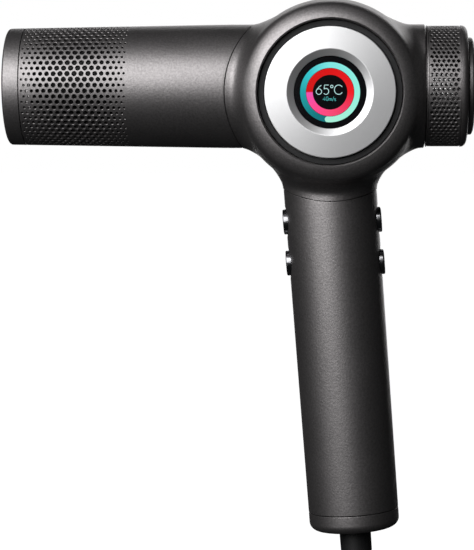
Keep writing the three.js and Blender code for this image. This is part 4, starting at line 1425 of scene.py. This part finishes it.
WARM = (1.03, 0.98, 0.985)
gunmetal_dark, gunmetal_light = tones(0.225, WARM, 0.18)
silver_dark, silver_light = tones(0.62, (1, 1, 1.01), 0.02)
# The third colour of each finish is the brighter tone of its painted edge highlight.
FINISHES = {
    "gunmetal_paint": (
        gunmetal_dark, gunmetal_light, (0.42, 0.41, 0.41),
        0.50, 0.97, 1250, 1.0, 0.40, 0.03, 0.25,
    ),
    "satin_silver": (
        silver_dark, silver_light, (0.9, 0.9, 0.9),
        0.50, 0.95, 2600, 1.0, 0.05, 0.02, 0.2,
    ),
    "display_glass": (
        (0.003, 0.003, 0.004), (0.005, 0.005, 0.006), (0.01, 0.01, 0.01),
        0.10, 0.0, 900, 0.6, 0.01, 0.03, 0.1,
    ),
    "black_plastic": (
        (0.010, 0.010, 0.011), (0.018, 0.018, 0.019), (0.05, 0.05, 0.05),
        0.50, 0.0, 2400, 1.0, 0.25, {"Specular_IOR_Level": 0.25},
    ),
    "polished_button": (
        (0.22, 0.22, 0.23), (0.28, 0.28, 0.29), (0.45, 0.45, 0.45),
        0.22, 1.0, 700, 0.6, 0.02, 0.04, 0.1,
    ),
    "steel_parts": (
        (0.50, 0.50, 0.51), (0.62, 0.62, 0.63), (0.8, 0.8, 0.8),
        0.28, 1.0, 1200, 1.0, 0.08,
    ),
    "filter_mesh_steel": (
        (0.05, 0.05, 0.052), (0.10, 0.10, 0.102), (0.2, 0.2, 0.2),
        0.40, 1.0, 1500, 1.0, 0.05,
    ),
    "mica_sheet": (
        (0.40, 0.33, 0.23), (0.58, 0.50, 0.38), (0.7, 0.64, 0.52),
        0.45, 0.1, 350, 1.2, 0.12, {"Coat_Weight": 0.25},
    ),
    "heater_wire": (
        (0.20, 0.16, 0.14), (0.34, 0.29, 0.25), (0.5, 0.45, 0.4),
        0.38, 1.0, 2200, 1.0, 0.10,
    ),
    "white_plastic": (
        (0.66, 0.65, 0.61), (0.76, 0.75, 0.72), (0.85, 0.85, 0.83),
        0.40, 0.0, 2000, 1.0, 0.12,
    ),
    "circuit_board": (
        (0.012, 0.085, 0.040), (0.030, 0.160, 0.080), (0.55, 0.45, 0.20),
        0.35, 0.0, 500, 1.6, 0.15, {"rubbed": 0.8},
    ),
    "soft_rubber": (
        (0.010, 0.010, 0.011), (0.017, 0.017, 0.018), (0.04, 0.04, 0.04),
        0.55, 0.0, 1700, 1.0, 0.30,
    ),
    "cast_aluminium": (
        (0.46, 0.46, 0.48), (0.62, 0.62, 0.64), (0.8, 0.8, 0.82),
        0.34, 1.0, 900, 1.1, 0.18,
    ),
    "stator_steel": (
        (0.22, 0.20, 0.19), (0.38, 0.36, 0.35), (0.6, 0.6, 0.6),
        0.42, 1.0, 1500, 1.2, 0.20,
    ),
    "cord_rubber": (
        (0.011, 0.011, 0.012), (0.017, 0.017, 0.018), (0.035, 0.035, 0.035),
        0.46, 0.0, 1500, 1.0, 0.22,
    ),
    "tie_fabric": (
        (0.012, 0.012, 0.014), (0.035, 0.035, 0.038), (0.06, 0.06, 0.06),
        0.80, 0.0, 1100, 1.6, 0.8, {"Sheen_Weight": 0.4},
    ),
    "pin_brass": (
        (0.66, 0.60, 0.46), (0.76, 0.70, 0.56), (0.9, 0.86, 0.76),
        0.20, 1.0, 900, 0.8, 0.05,
    ),
}


def finish_of(name):
    *values, last = FINISHES[name]
    if isinstance(last, dict):
        return surface(name, *values, **last)
    return surface(name, *values, last)


finishes = {name: finish_of(name) for name in FINISHES}
print("finishes:", len(finishes))

# %% [markdown]
# ## Light inside the display
# The rings change colour round the dial. The angle about the dial's centre is found from the
# piece's own coordinates, and a colour ramp turns it into light. The gloss of the glass over them
# comes from the shader's low roughness.

# %% Materials that give light


def lit_ring(name, stops):
    """A film that glows with colours set by the clock angle, as (share of a turn, colour)."""
    material, tree, shader = new_material(name)
    place = add_node(tree, "TexCoord").outputs["Object"]
    centred = add_node(tree, "VectorMath", {0: place, 1: hub}, operation="SUBTRACT").outputs[0]
    parts = add_node(tree, "SeparateXYZ", {0: centred})
    angle = reckon(tree, "ARCTAN2", parts.outputs["X"], parts.outputs["Z"])
    share = reckon(tree, "MULTIPLY", angle, 1 / (2 * math.pi))
    ramp = add_node(tree, "ValToRGB", {0: reckon(tree, "WRAP", share, 1.0, 0)})
    elements = ramp.color_ramp.elements
    while len(elements) < len(stops):
        elements.new(0.5)
    for element, (position, colour) in zip(elements, stops):
        element.position = position
        element.color = linear(colour)
    feed(shader, {
        "Emission Color": ramp.outputs["Color"], "Emission Strength": 1.0,
        "Base Color": (0.004, 0.004, 0.004, 1), "Roughness": 0.12,
    })
    return material


AIR_COLOURS = [
    (0.0, "7FE6E2"), (0.25, "93F0DE"), (0.49, "A8F0D8"), (0.518, "A8F0D8"), (0.522, "087078"),
    (0.6, "0A7A80"), (0.75, "1AA0A5"), (0.875, "35C8CF"), (1.0, "7FE6E2"),
]
HEAT_COLOURS = [
    (0.0, "D80A0C"), (0.25, "F01820"), (0.375, "F03860"), (0.5, "FA4878"), (0.625, "FF4890"),
    (0.748, "F050B0"), (0.752, "D00808"), (1.0, "D80A0C"),
]
FIGURE_COLOURS = [(0.0, "C4ECEA"), (0.5, "B4E4E4"), (1.0, "C4ECEA")]
SMALL_FIGURE_COLOURS = [(0.0, "3FB4B4"), (0.5, "58C4C2"), (1.0, "3FB4B4")]
own_finish = {
    "air_ring_light": lit_ring("air_light", AIR_COLOURS),
    "heat_ring_light": lit_ring("heat_light", HEAT_COLOURS),
    "air_ring_tip": lit_ring("air_tip_light", [(0.0, "A8F0D8"), (1.0, "A8F0D8")]),
    "temperature_reading": lit_ring("figure_light", FIGURE_COLOURS),
    "air_speed_reading": lit_ring("small_figure_light", SMALL_FIGURE_COLOURS),
}

# %% Give every piece its finish
node_slots = {row["node"]: row["material_slot"] for row in frame["record"]["subparts"]}
dressed = 0
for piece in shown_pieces():
    slot_name = piece.get("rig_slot") or node_slots[piece.name]
    piece.data.materials.clear()
    piece.data.materials.append(own_finish.get(piece.name) or finishes[slot_name])
    steady = piece.modifiers.new("steady shading", "WEIGHTED_NORMAL")
    steady.keep_sharp = True
    dressed += 1
print("pieces dressed:", dressed)

# %% [markdown]
# ## Floor and light
# The dryer is shown on a plain pale ground. A large soft panel stands high on the barrel's side,
# near the camera, which lays one broad highlight along the barrel and the handle. A weaker panel
# stands behind the dryer and shows its back. The rest of the room is dark, as in a studio.

# %% The pale ground
FLOOR_DROP = 0.02
floor_height = packed_box[0].z - FLOOR_DROP
floor_mesh = bpy.data.meshes.new("floor")
floor_corners = [(x, y, floor_height) for x, y in ((-30, -30), (30, -30), (30, 30), (-30, 30))]
floor_mesh.from_pydata(floor_corners, [], [(0, 1, 2, 3)])
floor = bpy.data.objects.new("floor", floor_mesh)
bpy.context.scene.collection.objects.link(floor)
floor_paint, _, floor_shader = new_material("floor_paint")
feed(floor_shader, {
    "Base Color": (0.9, 0.9, 0.9, 1), "Roughness": 0.9,
    "Emission Color": (1, 1, 1, 1), "Emission Strength": 1.0,
})
floor_mesh.materials.append(floor_paint)
floor.visible_glossy = False
floor.visible_diffuse = False

# %% The room and the soft panels
world = bpy.data.worlds.new("studio")
bpy.context.scene.world = world
world.use_nodes = True
room = world.node_tree
seen_white = feed(room.nodes["Background"], {"Color": (1, 1, 1, 1), "Strength": 1.0})
dark_room = add_node(room, "Background", {"Color": (0.9, 0.95, 1.0, 1), "Strength": 0.014})
choose = add_node(room, "MixShader", {
    0: add_node(room, "LightPath").outputs["Is Camera Ray"],
    1: dark_room.outputs[0],
    2: seen_white.outputs[0],
})
feed(room.nodes["World Output"], {"Surface": choose.outputs[0]})


def soft_panel(name, azimuth, elevation, distance, width, height, power):
    """A soft light that faces the hub. Azimuth 0 is the camera's side, and positive is its right."""
    data = bpy.data.lights.new(name, "AREA")
    data.shape = "RECTANGLE"
    data.size = width
    data.size_y = height
    data.energy = power
    panel = bpy.data.objects.new(name, data)
    a, e = math.radians(azimuth), math.radians(elevation)
    way = Vector((math.sin(a) * math.cos(e), -math.cos(a) * math.cos(e), math.sin(e)))
    panel.location = hub + way * distance
    panel.rotation_euler = (-way).to_track_quat("-Z", "Y").to_euler()
    panel.visible_camera = False
    bpy.context.scene.collection.objects.link(panel)
    return panel


soft_panel("key_panel", -29, 23, 1.0, 0.90, 0.86, 14)
soft_panel("back_panel", 172, 12, 1.0, 0.90, 0.86, 5)
bpy.context.scene.view_settings.view_transform = "Standard"
